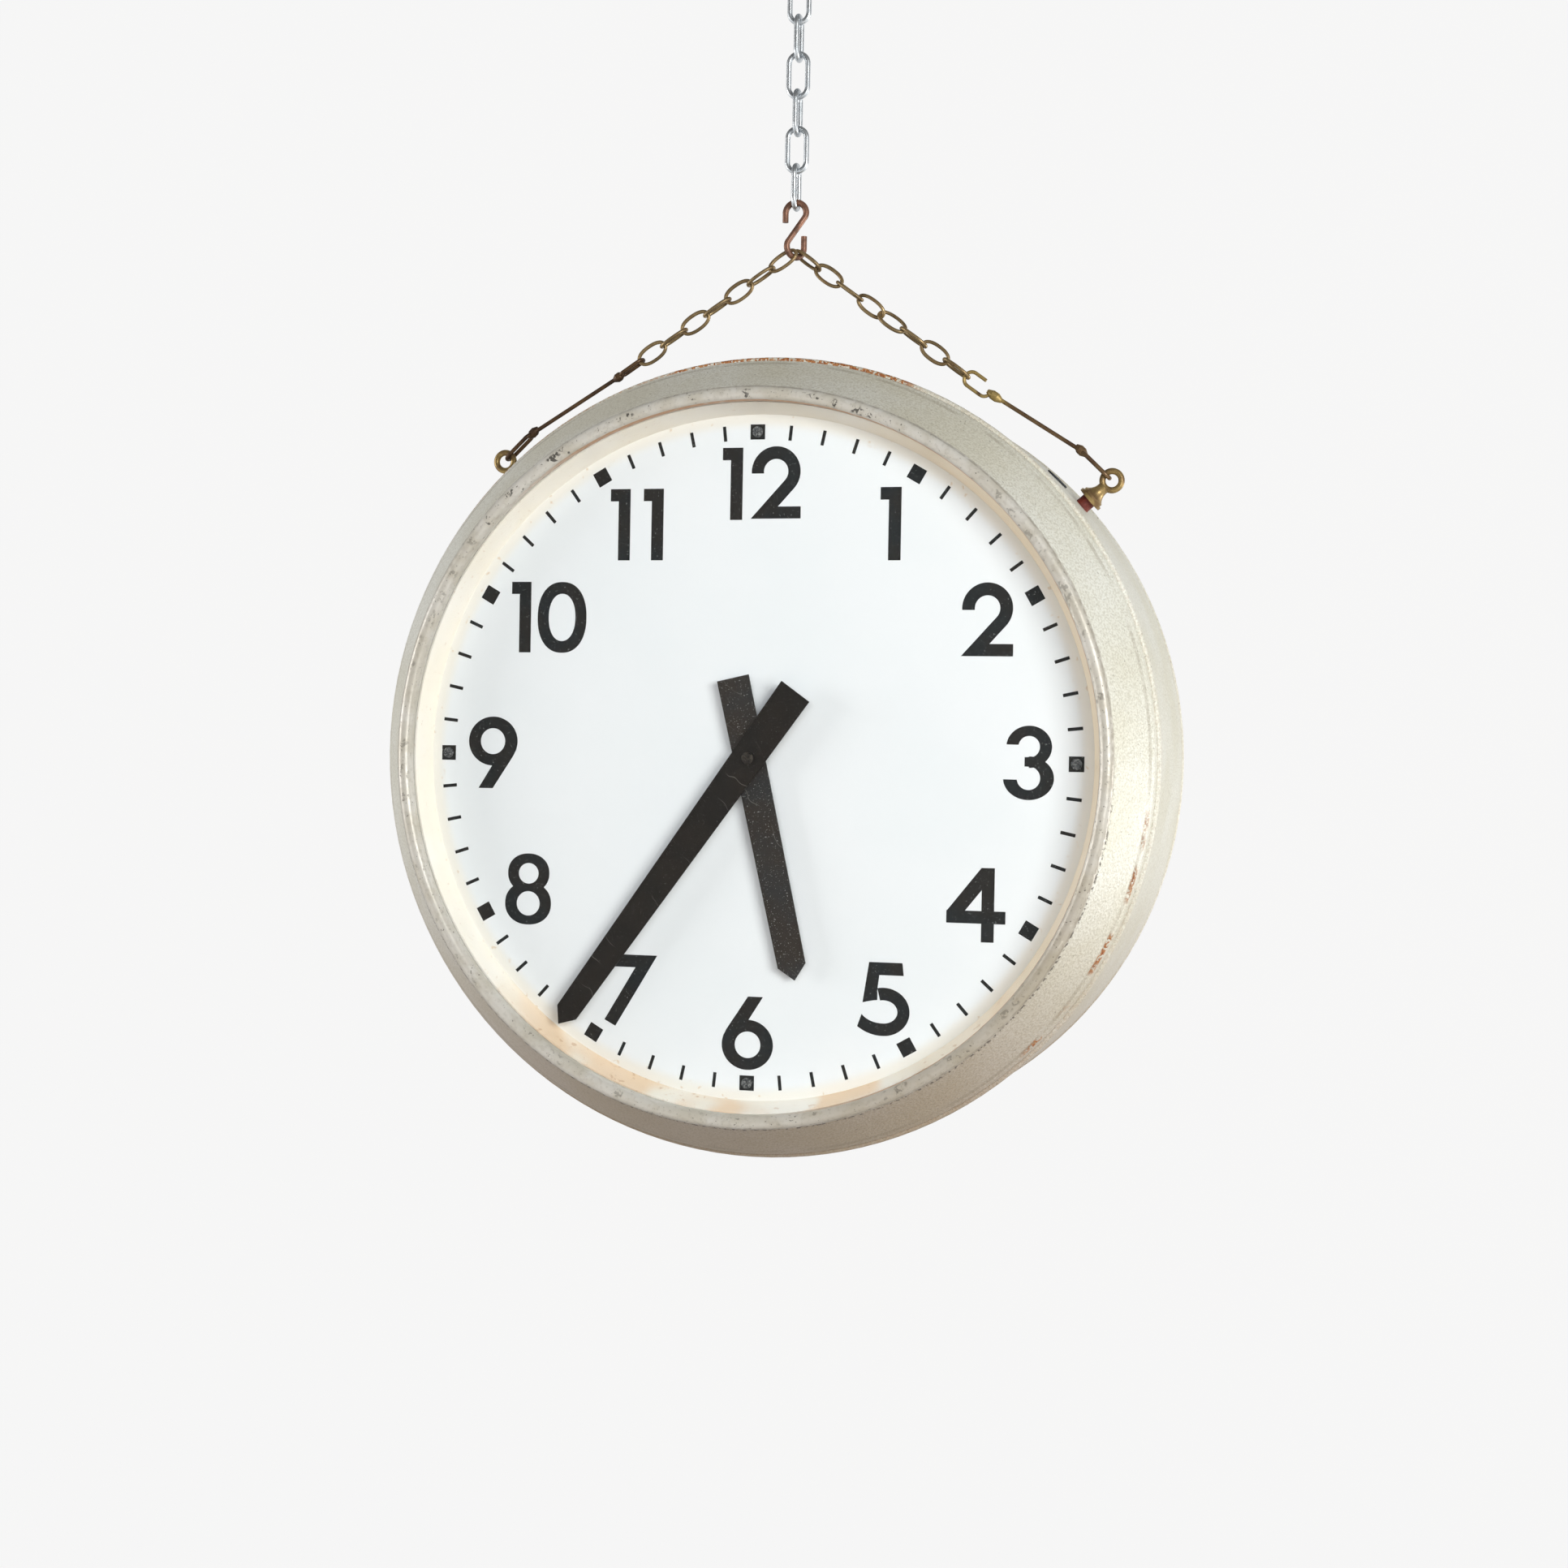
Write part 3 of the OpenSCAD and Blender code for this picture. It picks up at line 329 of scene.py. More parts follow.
@dataclass(frozen=True)
class HammeredCasePaint(Finish):
    """Sprayed silver-beige stoving paint on sheet steel: finely pebbled, rusty where its edges wore."""

    centre_z: float
    lip_r: float
    lip_depth: float
    seam_r: float
    # Rust grains, specks and flecks are about 0.3 mm across, and are drawn as coarse as they need to show
    cloud_mm: float = 55
    fleck_mm: float = 1.1
    speck_mm: float = 1.5
    pebble_mm: float = 1.6
    rust_mm: float = 1.7
    chip_mm: float = 1.8

    def paint(self, tree: Tree, shader: Node, place: Socket) -> None:
        """Adds the paint's mottle and pebble, painted shade on the top, the underside, the crease and the
        seam, the chips at the seam under the bezel and the rusty lip.

        Args:
            tree: The material's node tree.
            shader: Its Principled BSDF.
            place: The point's place in millimetres.
        """
        radius, depth, angle, away = AroundClock(self.centre_z).split(tree, place)
        colour = coat(tree, "e4e6de", "dbdbcd", 1.0, grain(tree, place, self.cloud_mm, 0.35, 0.68))
        colour = coat(tree, colour, "aaa692", 0.42, grain(tree, place, self.fleck_mm, 0.38, 0.66, 2))
        # Painted shade: the top is browned a little and the underside more, where less light reaches the cone
        colour = coat(tree, colour, "94752c", 0.16, band(tree, away, -10, 20, 50))
        colour = coat(tree, colour, "7a5522", 0.56, band(tree, away, 152, 200, 56))
        colour = coat(tree, colour, "6d675d", 0.5, grain(tree, place, self.speck_mm, 0.70, 0.76, 1))
        # Rust sits on the rolled lip, dense at the top and a thin line to its left, and on the crease
        # between the cone and the lip near four
        left_line = overlap(tree, 0.5, band(tree, angle, -64, -14, 6))
        zone = band(tree, angle, -13, 20, 5)
        for other in (left_line, 0.1):
            zone = add_node(tree, "ShaderNodeMath", {0: zone, 1: other}, operation="MAXIMUM").outputs[0]
        on_lip = band(tree, radius, self.lip_r - 3.6, self.lip_r + 2, 1.2)
        front_edge = band(tree, depth, self.lip_depth - 8, self.lip_depth, 2.5)
        at_lip = overlap(tree, zone, on_lip, front_edge)
        near_four = overlap(tree, band(tree, angle, 100, 133, 5), grain(tree, place, 24, 0.47, 0.58, 1))
        at_crease = overlap(tree, near_four, band(tree, radius, self.lip_r - 4.7, self.lip_r - 3.5, 0.7))
        rusty = add_node(tree, "ShaderNodeMath", {0: at_lip, 1: at_crease}, operation="MAXIMUM").outputs[0]
        rust = overlap(tree, grain(tree, place, self.rust_mm, 0.42, 0.52, 4), rusty)
        scale = coat(tree, "8a4d2c", "b98350", 1.0, grain(tree, place, 1.2, 0.35, 0.65))
        colour = coat(tree, colour, scale, 1.0, rust)
        # Dirt and chips follow the lower half of the seam where the cone meets the bezel
        at_seam = band(tree, radius, self.seam_r - 1.4, self.seam_r + 0.5, 0.6)
        lower = band(tree, away, 104, 200, 20)
        chips = overlap(tree, grain(tree, place, self.chip_mm, 0.50, 0.57, 3), at_seam, lower)
        colour = coat(tree, colour, "4b443c", 0.85, chips)
        # Painted shade: a darker line in the groove of the seam between the cone and the bezel
        painted_seam_shade = band(tree, radius, self.seam_r - 2, self.seam_r + 0.1, 0.3)
        colour = coat(tree, colour, "7d7466", 0.4, painted_seam_shade, grain(tree, place, 7, 0.35, 0.60))
        # Painted shade: a darker line in the crease between the cone and the rolled lip
        painted_crease_shade = band(tree, radius, self.lip_r - 5.2, self.lip_r - 4.3, 0.4)
        colour = coat(tree, colour, "857a66", 0.35, painted_crease_shade, grain(tree, place, 20, 0.3, 0.6))
        tree.links.new(colour, shader.inputs["Base Color"])
        vary(tree, shader.inputs["Roughness"], rust, 0.52, 0.8)
        shader.inputs["Metallic"].default_value = 0.12
        pebble = relief(tree, shader, grain(tree, place, self.pebble_mm, 0.3, 0.7, 2), 0.11)
        worn = add_node(tree, "ShaderNodeMath", {0: rust, 1: chips}, operation="MAXIMUM")
        relief(tree, shader, worn.outputs[0], 0.12, pebble)


@dataclass(frozen=True)
class WornBezelPaint(Finish):
    """Silver paint on the rolled bezel: smoother than the case, chipped to dark steel along its crest."""

    centre_z: float
    crest_r: float
    inner_r: float
    cloud_mm: float = 16
    smudge_mm: float = 2.4
    flake_mm: float = 1.9
    pinhole_mm: float = 1.3

    def paint(self, tree: Tree, shader: Node, place: Socket) -> None:
        """Adds the cloudy paint, painted shade along the outer edge, the chips on the crest and the brown
        line at the inner edge.

        Args:
            tree: The material's node tree.
            shader: Its Principled BSDF.
            place: The point's place in millimetres.
        """
        radius, _, angle, _ = AroundClock(self.centre_z).split(tree, place)
        colour = coat(tree, "cccac2", "bfbbae", 1.0, grain(tree, place, self.cloud_mm, 0.35, 0.65, 4))
        colour = coat(tree, colour, "9b9588", 0.26, grain(tree, place, self.smudge_mm, 0.50, 0.68, 5))
        colour = coat(tree, colour, "7d6636", 0.32, band(tree, angle, 118, 158, 22))
        # Painted shade: a darker line along the bead's outer edge, where it steps down to the cone
        painted_rim_shade = band(tree, radius, self.crest_r + 3.3, self.crest_r + 6, 0.5)
        colour = coat(tree, colour, "8b8375", 0.55, painted_rim_shade, grain(tree, place, 4, 0.3, 0.6))
        # The paint is chipped most on the upper left of the crest, and in single spots elsewhere
        on_crest = band(tree, radius, self.crest_r - 2.4, self.crest_r + 1.0, 1.2)
        shares = {0: band(tree, angle, -48, 28, 8), 1: 0.45}
        upper_left = add_node(tree, "ShaderNodeMath", shares, operation="MAXIMUM").outputs[0]
        patches = grain(tree, place, 8, 0.59, 0.65, 1)
        flakes = grain(tree, place, self.flake_mm, 0.50, 0.55, 4)
        chips = overlap(tree, flakes, patches, on_crest, upper_left)
        colour = coat(tree, colour, "3f3c38", 0.9, chips)
        pinholes = grain(tree, place, self.pinhole_mm, 0.71, 0.74, 1)
        colour = coat(tree, colour, "4d463e", 0.7, pinholes)
        inner = band(tree, radius, self.inner_r - 1, self.inner_r + 0.25, 0.3)
        right_side = band(tree, angle, -20, 150, 30)
        colour = coat(tree, colour, "b97f45", 0.85, inner, right_side, grain(tree, place, 6, 0.15, 0.5))
        tree.links.new(colour, shader.inputs["Base Color"])
        shader.inputs["Metallic"].default_value = 0.15
        vary(tree, shader.inputs["Roughness"], grain(tree, place, 5, 0.3, 0.7), 0.3, 0.44)
        skin = relief(tree, shader, grain(tree, place, self.smudge_mm, 0.3, 0.7, 3), 0.04)
        pits = add_node(tree, "ShaderNodeMath", {0: chips, 1: pinholes}, operation="MAXIMUM")
        sound = add_node(tree, "ShaderNodeMath", {0: 1.0, 1: pits}, operation="SUBTRACT")
        relief(tree, shader, sound.outputs[0], 0.1, skin)


@dataclass(frozen=True)
class CreamRingPaint(Finish):
    """Cream gloss enamel on the spun inner ring, warmer on the right as painted shade, with rust that has
    bled down to the bottom.
    """

    centre_z: float
    cloud_mm: float = 40
    stain_mm: float = 30
    speck_mm: float = 1.4
    peel_mm: float = 5

    def paint(self, tree: Tree, shader: Node, place: Socket) -> None:
        """Adds painted shade on the right, the peach stains below and a few brown specks.

        Args:
            tree: The material's node tree.
            shader: Its Principled BSDF.
            place: The point's place in millimetres.
        """
        _, _, angle, away = AroundClock(self.centre_z).split(tree, place)
        colour = coat(tree, "fffcf3", "fdf8ea", 1.0, grain(tree, place, self.cloud_mm, 0.35, 0.65))
        # Painted shade: the right side of the ring, which faces away from the main lamp, is warmer and darker
        colour = coat(tree, colour, "ecc888", 0.4, band(tree, angle, 40, 130, 30))
        below = band(tree, away, 146, 200, 22)
        colour = coat(tree, colour, "f2c895", 0.62, below, grain(tree, place, self.stain_mm, 0.38, 0.62, 1))
        colour = coat(tree, colour, "c08d55", 0.45, below, grain(tree, place, self.peel_mm, 0.62, 0.72, 2))
        colour = coat(tree, colour, "b98a55", 0.3, grain(tree, place, self.speck_mm, 0.70, 0.74, 1))
        tree.links.new(colour, shader.inputs["Base Color"])
        shader.inputs["Roughness"].default_value = 0.34
        relief(tree, shader, grain(tree, place, self.peel_mm, 0.3, 0.7), 0.03)


@dataclass(frozen=True)
class DialEnamel(Finish):
    """White stoved enamel on the dial plate: cool, smooth and a little dusty, with a painted shadow round the
    hub and painted shade at the edge.
    """

    centre_z: float
    cloud_mm: float = 70
    dust_mm: float = 1.1
    spot_mm: float = 4
    peel_mm: float = 8
    hub_shadow_r: float = 9.4
    shaded_edge_r: float = 183

    def paint(self, tree: Tree, shader: Node, place: Socket) -> None:
        """Adds the dust film, a painted shadow disc at the hub, painted shade at the edge and a few yellow
        spots near it.

        Args:
            tree: The material's node tree.
            shader: Its Principled BSDF.
            place: The point's place in millimetres.
        """
        radius, _, _, _ = AroundClock(self.centre_z).split(tree, place)
        colour = coat(tree, "f6fbfe", "f3f9fc", 1.0, grain(tree, place, self.cloud_mm, 0.3, 0.7))
        # Painted shadow: a faint grey disc round the hub
        colour = coat(tree, colour, "dfe6e8", 0.5, band(tree, radius, 0, self.hub_shadow_r, 0.4))
        colour = coat(tree, colour, "c9ccc8", 0.12, grain(tree, place, self.dust_mm, 0.66, 0.74, 2))
        # Painted shade: the edge under the rim is warmer and darker; the yellow spots on it are stains
        edge = band(tree, radius, self.shaded_edge_r, 200, 7)
        colour = coat(tree, colour, "efe6d2", 0.5, edge)
        colour = coat(tree, colour, "d3b488", 0.45, edge, grain(tree, place, self.spot_mm, 0.68, 0.74, 2))
        tree.links.new(colour, shader.inputs["Base Color"])
        shader.inputs["Roughness"].default_value = 0.4
        relief(tree, shader, grain(tree, place, self.peel_mm, 0.3, 0.7), 0.02)


@dataclass(frozen=True)
class DialInk(Finish):
    """Screen-printed black enamel: matt, blue-grey under a sprinkle of pale dust."""

    # Real dust is finer, and is drawn coarse enough to show
    cloud_mm: float = 22
    film_mm: float = 1.3
    dust_mm: float = 0.9

    def paint(self, tree: Tree, shader: Node, place: Socket) -> None:
        """Adds the cloudy black, its brown patches and the dust.

        Args:
            tree: The material's node tree.
            shader: Its Principled BSDF.
            place: The point's place in millimetres.
        """
        colour = coat(tree, "14181a", "1b1815", 1.0, grain(tree, place, self.cloud_mm, 0.35, 0.65))
        colour = coat(tree, colour, "34383b", 0.12, grain(tree, place, self.film_mm, 0.4, 0.7, 3))
        colour = coat(tree, colour, "8c8f8e", 0.55, grain(tree, place, self.dust_mm, 0.67, 0.73, 2))
        tree.links.new(colour, shader.inputs["Base Color"])
        shader.inputs["Roughness"].default_value = 0.62
        shader.inputs["Specular IOR Level"].default_value = 0.25
        relief(tree, shader, grain(tree, place, self.film_mm, 0.3, 0.7), 0.02)


@dataclass(frozen=True)
class HandPaint(Finish):
    """Brushed-on black paint over sheet aluminium: brown in the light, with fine scratches and dust."""

    base: str
    worn: str
    dust_share: float
    cloud_mm: float = 18
    dust_mm: float = 0.8
    brush_mm: float = 1.2
    warp_mm: float = 30
    bend_mm: float = 26
    hair_gap_mm: float = 36

    def paint(self, tree: Tree, shader: Node, place: Socket) -> None:
        """Adds the streaky black, its dust and the pale hair scratches.

        Args:
            tree: The material's node tree.
            shader: Its Principled BSDF.
            place: The point's place in millimetres.
        """
        colour = coat(tree, self.base, self.worn, 1.0, grain(tree, place, self.cloud_mm, 0.3, 0.7, 4))
        dust = grain(tree, place, self.dust_mm, 0.64, 0.71, 2)
        colour = coat(tree, colour, "a0a19e", self.dust_share, dust)
        waves = {"Vector": place, "Scale": 1 / self.warp_mm}
        bent = add_node(tree, "ShaderNodeTexNoise", waves).outputs["Color"]
        bend = {0: bent, 1: (self.bend_mm,) * 3, 2: place}
        warped = add_node(tree, "ShaderNodeVectorMath", bend, operation="MULTIPLY_ADD").outputs[0]
        hairs = {"Vector": warped, "Scale": 1 / self.hair_gap_mm, "Distortion": 3.0}
        lines = add_node(tree, "ShaderNodeTexWave", hairs, bands_direction="DIAGONAL").outputs[1]
        crests = {"Value": lines, "From Min": 0.9993, "From Max": 1.0}
        thin = add_node(tree, "ShaderNodeMapRange", crests).outputs[0]
        colour = coat(tree, colour, "8d8a84", 0.5, thin, grain(tree, place, 24, 0.5, 0.6, 1))
        tree.links.new(colour, shader.inputs["Base Color"])
        vary(tree, shader.inputs["Roughness"], dust, 0.5, 0.75)
        shader.inputs["Specular IOR Level"].default_value = 0.25
        relief(tree, shader, grain(tree, place, self.brush_mm, 0.3, 0.7), 0.03)


@dataclass(frozen=True)
class ClockGlass(Finish):
    """Drawn sheet glass: clear, polished, with a little dust. Lamps reach the dial through it."""

    def paint(self, tree: Tree, shader: Node, place: Socket) -> None:
        """Makes the glass clear to shadow and bounced rays, so that the dial behind it is lit.

        Args:
            tree: The material's node tree.
            shader: Its Principled BSDF.
            place: The point's place in millimetres.
        """
        shader.inputs["Base Color"].default_value = linear("fbfdfd")
        shader.inputs["Transmission Weight"].default_value = 1.0
        shader.inputs["IOR"].default_value = 1.5
        vary(tree, shader.inputs["Roughness"], grain(tree, place, 30, 0.3, 0.7), 0.0, 0.015)
        rays = add_node(tree, "ShaderNodeLightPath").outputs
        either = {0: rays["Is Shadow Ray"], 1: rays["Is Diffuse Ray"]}
        passing = add_node(tree, "ShaderNodeMath", either, operation="MAXIMUM")
        clear = add_node(tree, "ShaderNodeBsdfTransparent")
        mixed = add_node(tree, "ShaderNodeMixShader", {0: passing, 1: shader, 2: clear})
        tree.links.new(mixed.outputs[0], tree.nodes["Material Output"].inputs["Surface"])


@dataclass(frozen=True)
class BareMetal(Finish):
    """Metal with a patina: bright where it is rubbed, dark elsewhere, with dirt in fine specks."""

    bright: str
    dark: str
    dirt: str
    patch_mm: float
    roughness: tuple[float, float]
    metallic: float
    bump_mm: float
    dirt_share: float = 0.4
    grit_mm: float = 1.1

    def paint(self, tree: Tree, shader: Node, place: Socket) -> None:
        """Adds patina patches, dirt specks and a lightly pitted surface.

        Args:
            tree: The material's node tree.
            shader: Its Principled BSDF.
            place: The point's place in millimetres.
        """
        patina = grain(tree, place, self.patch_mm, 0.36, 0.64, 5)
        colour = coat(tree, self.bright, self.dark, 1.0, patina)
        specks = grain(tree, place, self.grit_mm, 0.50, 0.68, 4)
        colour = coat(tree, colour, self.dirt, self.dirt_share, specks)
        tree.links.new(colour, shader.inputs["Base Color"])
        shader.inputs["Metallic"].default_value = self.metallic
        vary(tree, shader.inputs["Roughness"], patina, *self.roughness)
        relief(tree, shader, grain(tree, place, 0.8 * self.grit_mm, 0.3, 0.7), self.bump_mm)


@dataclass(frozen=True)
class RubbedRod(BareMetal):
    """Dark drawn brass that is rubbed to yellow metal round one spot, where it was handled."""

    rubbed: str = "b8a066"
    spot: tuple[float, float, float] = (0.0, 0.0, 0.0)
    reach_mm: float = 15.0

    def paint(self, tree: Tree, shader: Node, place: Socket) -> None:
        """Lays the rubbed brass over the patina near the spot.

        Args:
            tree: The material's node tree.
            shader: Its Principled BSDF.
            place: The point's place in millimetres.
        """
        super().paint(tree, shader, place)
        patina = shader.inputs["Base Color"].links[0].from_socket
        ends = {0: place, 1: self.spot}
        distance = add_node(tree, "ShaderNodeVectorMath", ends, operation="DISTANCE").outputs["Value"]
        near = band(tree, distance, -1, self.reach_mm, self.reach_mm * 0.4)
        colour = coat(tree, patina, self.rubbed, 0.85, near, grain(tree, place, 4, 0.25, 0.5))
        tree.links.new(colour, shader.inputs["Base Color"])


@dataclass(frozen=True)
class GrainedMetal(Finish):
    """Rolled or turned metal: fine straight grain of one direction under a thin film of oil and dust."""

    bright: str
    dark: str
    grain_mm: tuple[float, float, float]
    roughness: float
    metallic: float = 1.0

    def paint(self, tree: Tree, shader: Node, place: Socket) -> None:
        """Adds the grain, drawn coarse enough to show, and a cloudy film.

        Args:
            tree: The material's node tree.
            shader: Its Principled BSDF.
            place: The point's place in millimetres.
        """
        squeeze = {0: place, 1: tuple(1 / g for g in self.grain_mm)}
        along = add_node(tree, "ShaderNodeVectorMath", squeeze, operation="MULTIPLY").outputs[0]
        lines = grain(tree, along, 1.0, 0.3, 0.7, 3)
        colour = coat(tree, self.bright, self.dark, 0.6, lines)
        colour = coat(tree, colour, self.dark, 0.35, grain(tree, place, 14, 0.45, 0.7))
        tree.links.new(colour, shader.inputs["Base Color"])
        shader.inputs["Metallic"].default_value = self.metallic
        shader.inputs["Roughness"].default_value = self.roughness
        relief(tree, shader, lines, 0.015)


@dataclass(frozen=True)
class Moulded(Finish):
    """Rubber, fibre or moulded plastic: one body colour with a faint mottle, dust and a fine skin."""

    base: str
    mottle: str
    dust: str
    roughness: float
    grit_mm: float
    bump_mm: float

    def paint(self, tree: Tree, shader: Node, place: Socket) -> None:
        """Adds the mottle, the dust and the skin.

        Args:
            tree: The material's node tree.
            shader: Its Principled BSDF.
            place: The point's place in millimetres.
        """
        colour = coat(tree, self.base, self.mottle, 1.0, grain(tree, place, 5, 0.35, 0.65))
        colour = coat(tree, colour, self.dust, 0.35, grain(tree, place, self.grit_mm, 0.55, 0.7, 4))
        tree.links.new(colour, shader.inputs["Base Color"])
        shader.inputs["Roughness"].default_value = self.roughness
        relief(tree, shader, grain(tree, place, self.grit_mm, 0.3, 0.7), self.bump_mm)


@dataclass(frozen=True)
class WoundWire(Finish):
    """Varnished copper wire, wound in level layers: a painted highlight on each turn's ridge and painted
    shade between the turns.
    """

    wire_mm: float

    def paint(self, tree: Tree, shader: Node, place: Socket) -> None:
        """Adds the turns as bands across the coil's length, drawn a little coarser than the real wire.

        Args:
            tree: The material's node tree.
            shader: Its Principled BSDF.
            place: The point's place in millimetres.
        """
        # A wave of scale 1 repeats about every 0.314 units
        repeat = 0.314
        turns = {"Vector": place, "Scale": repeat / self.wire_mm}
        ridge = add_node(tree, "ShaderNodeTexWave", turns, bands_direction="Z").outputs[1]
        # Painted highlight on each turn's ridge and painted shade between the turns, from the wave that also
        # gives the bump
        colour = coat(tree, "4a1d10", "a8502c", 1.0, ridge)
        colour = coat(tree, colour, "6d3018", 0.4, grain(tree, place, 6, 0.4, 0.7))
        tree.links.new(colour, shader.inputs["Base Color"])
        shader.inputs["Metallic"].default_value = 0.5
        shader.inputs["Roughness"].default_value = 0.35
        relief(tree, shader, ridge, 0.1)


@dataclass(frozen=True)
class StudioPaper(Finish):
    """Seamless studio paper: straight rays see its pale colour, and lamps see a warm mid tone.

    The mid tone keeps the light that it throws up on the clock as weak and warm as in the photograph.
    """

    seen: str
    seen_share: float

    def paint(self, tree: Tree, shader: Node, place: Socket) -> None:
        """Mixes a matt paper with a plain glow that only camera, glossy and transmitted rays meet.

        Args:
            tree: The material's node tree.
            shader: Its Principled BSDF.
            place: The point's place in millimetres.
        """
        fibres = coat(tree, "8f7c68", "8a7763", 1.0, grain(tree, place, 3, 0.3, 0.7))
        tree.links.new(fibres, shader.inputs["Base Color"])
        shader.inputs["Roughness"].default_value = 0.9
        rays = add_node(tree, "ShaderNodeLightPath").outputs
        straight = rays["Is Camera Ray"]
        for ray in ("Is Glossy Ray", "Is Transmission Ray"):
            either = {0: straight, 1: rays[ray]}
            straight = add_node(tree, "ShaderNodeMath", either, operation="MAXIMUM").outputs[0]
        glow = add_node(tree, "ShaderNodeEmission", {"Color": linear(self.seen), "Strength": 1.0})
        lit = {0: overlap(tree, self.seen_share, straight), 1: shader, 2: glow}
        mixed = add_node(tree, "ShaderNodeMixShader", lit)
        tree.links.new(mixed.outputs[0], tree.nodes["Material Output"].inputs["Surface"])


def ring_part(centre: Point, outer: Point, inner: Point, outer_span: Point, inner_span: Point) -> Outline:
    """Draws a curved stroke between two ellipses.

    Args:
        centre: The centre of both ellipses.
        outer: The outer ellipse's two radii.
        inner: The inner ellipse's two radii.
        outer_span: The first and last angle of the outer edge, in degrees.
        inner_span: The same for the inner edge, which differs where an end is cut straight.

    Returns:
        The stroke's outline.
    """
    steps = 48
    points = []
    for radii, (first, last) in ((outer, outer_span), (inner, inner_span[::-1])):
        for i in range(steps + 1):
            a = math.radians(first + (last - first) * i / steps)
            points.append((centre[0] + radii[0] * math.cos(a), centre[1] + radii[1] * math.sin(a)))
    return points


def oval(centre: Point, radii: Point, power: float = 2.0) -> Outline:
    """Draws a full ellipse, or a squarer oval.

    Args:
        centre: Its middle.
        radii: Its two radii.
        power: 2 for an ellipse, and more for a squarer oval.

    Returns:
        The outline.
    """
    steps = 96
    points = []
    for i in range(steps):
        c, s = math.cos(math.tau * i / steps), math.sin(math.tau * i / steps)
        grow = (abs(c) ** power + abs(s) ** power) ** (-1 / power)
        points.append((centre[0] + radii[0] * c * grow, centre[1] + radii[1] * s * grow))
    return points


def curve(start: Point, pull: Point, end: Point) -> Outline:
    """Draws a smooth curve between two points, pulled towards a third.

    Args:
        start: Where it starts.
        pull: The point that it bends towards.
        end: Where it ends.

    Returns:
        The points of the curve.
    """
    steps = 16
    points = []
    for i in range(steps + 1):
        t = i / steps
        shares = ((1 - t) ** 2, 2 * t * (1 - t), t * t)
        points.append(tuple(sum(w * c for w, c in zip(shares, axis)) for axis in zip(start, pull, end)))
    return points


@dataclass(frozen=True)
class Digit:
    """A digit's ink and the holes in it, in millimetres from its middle."""

    ink: list[Outline]
    holes: list[Outline] = field(default_factory=list)


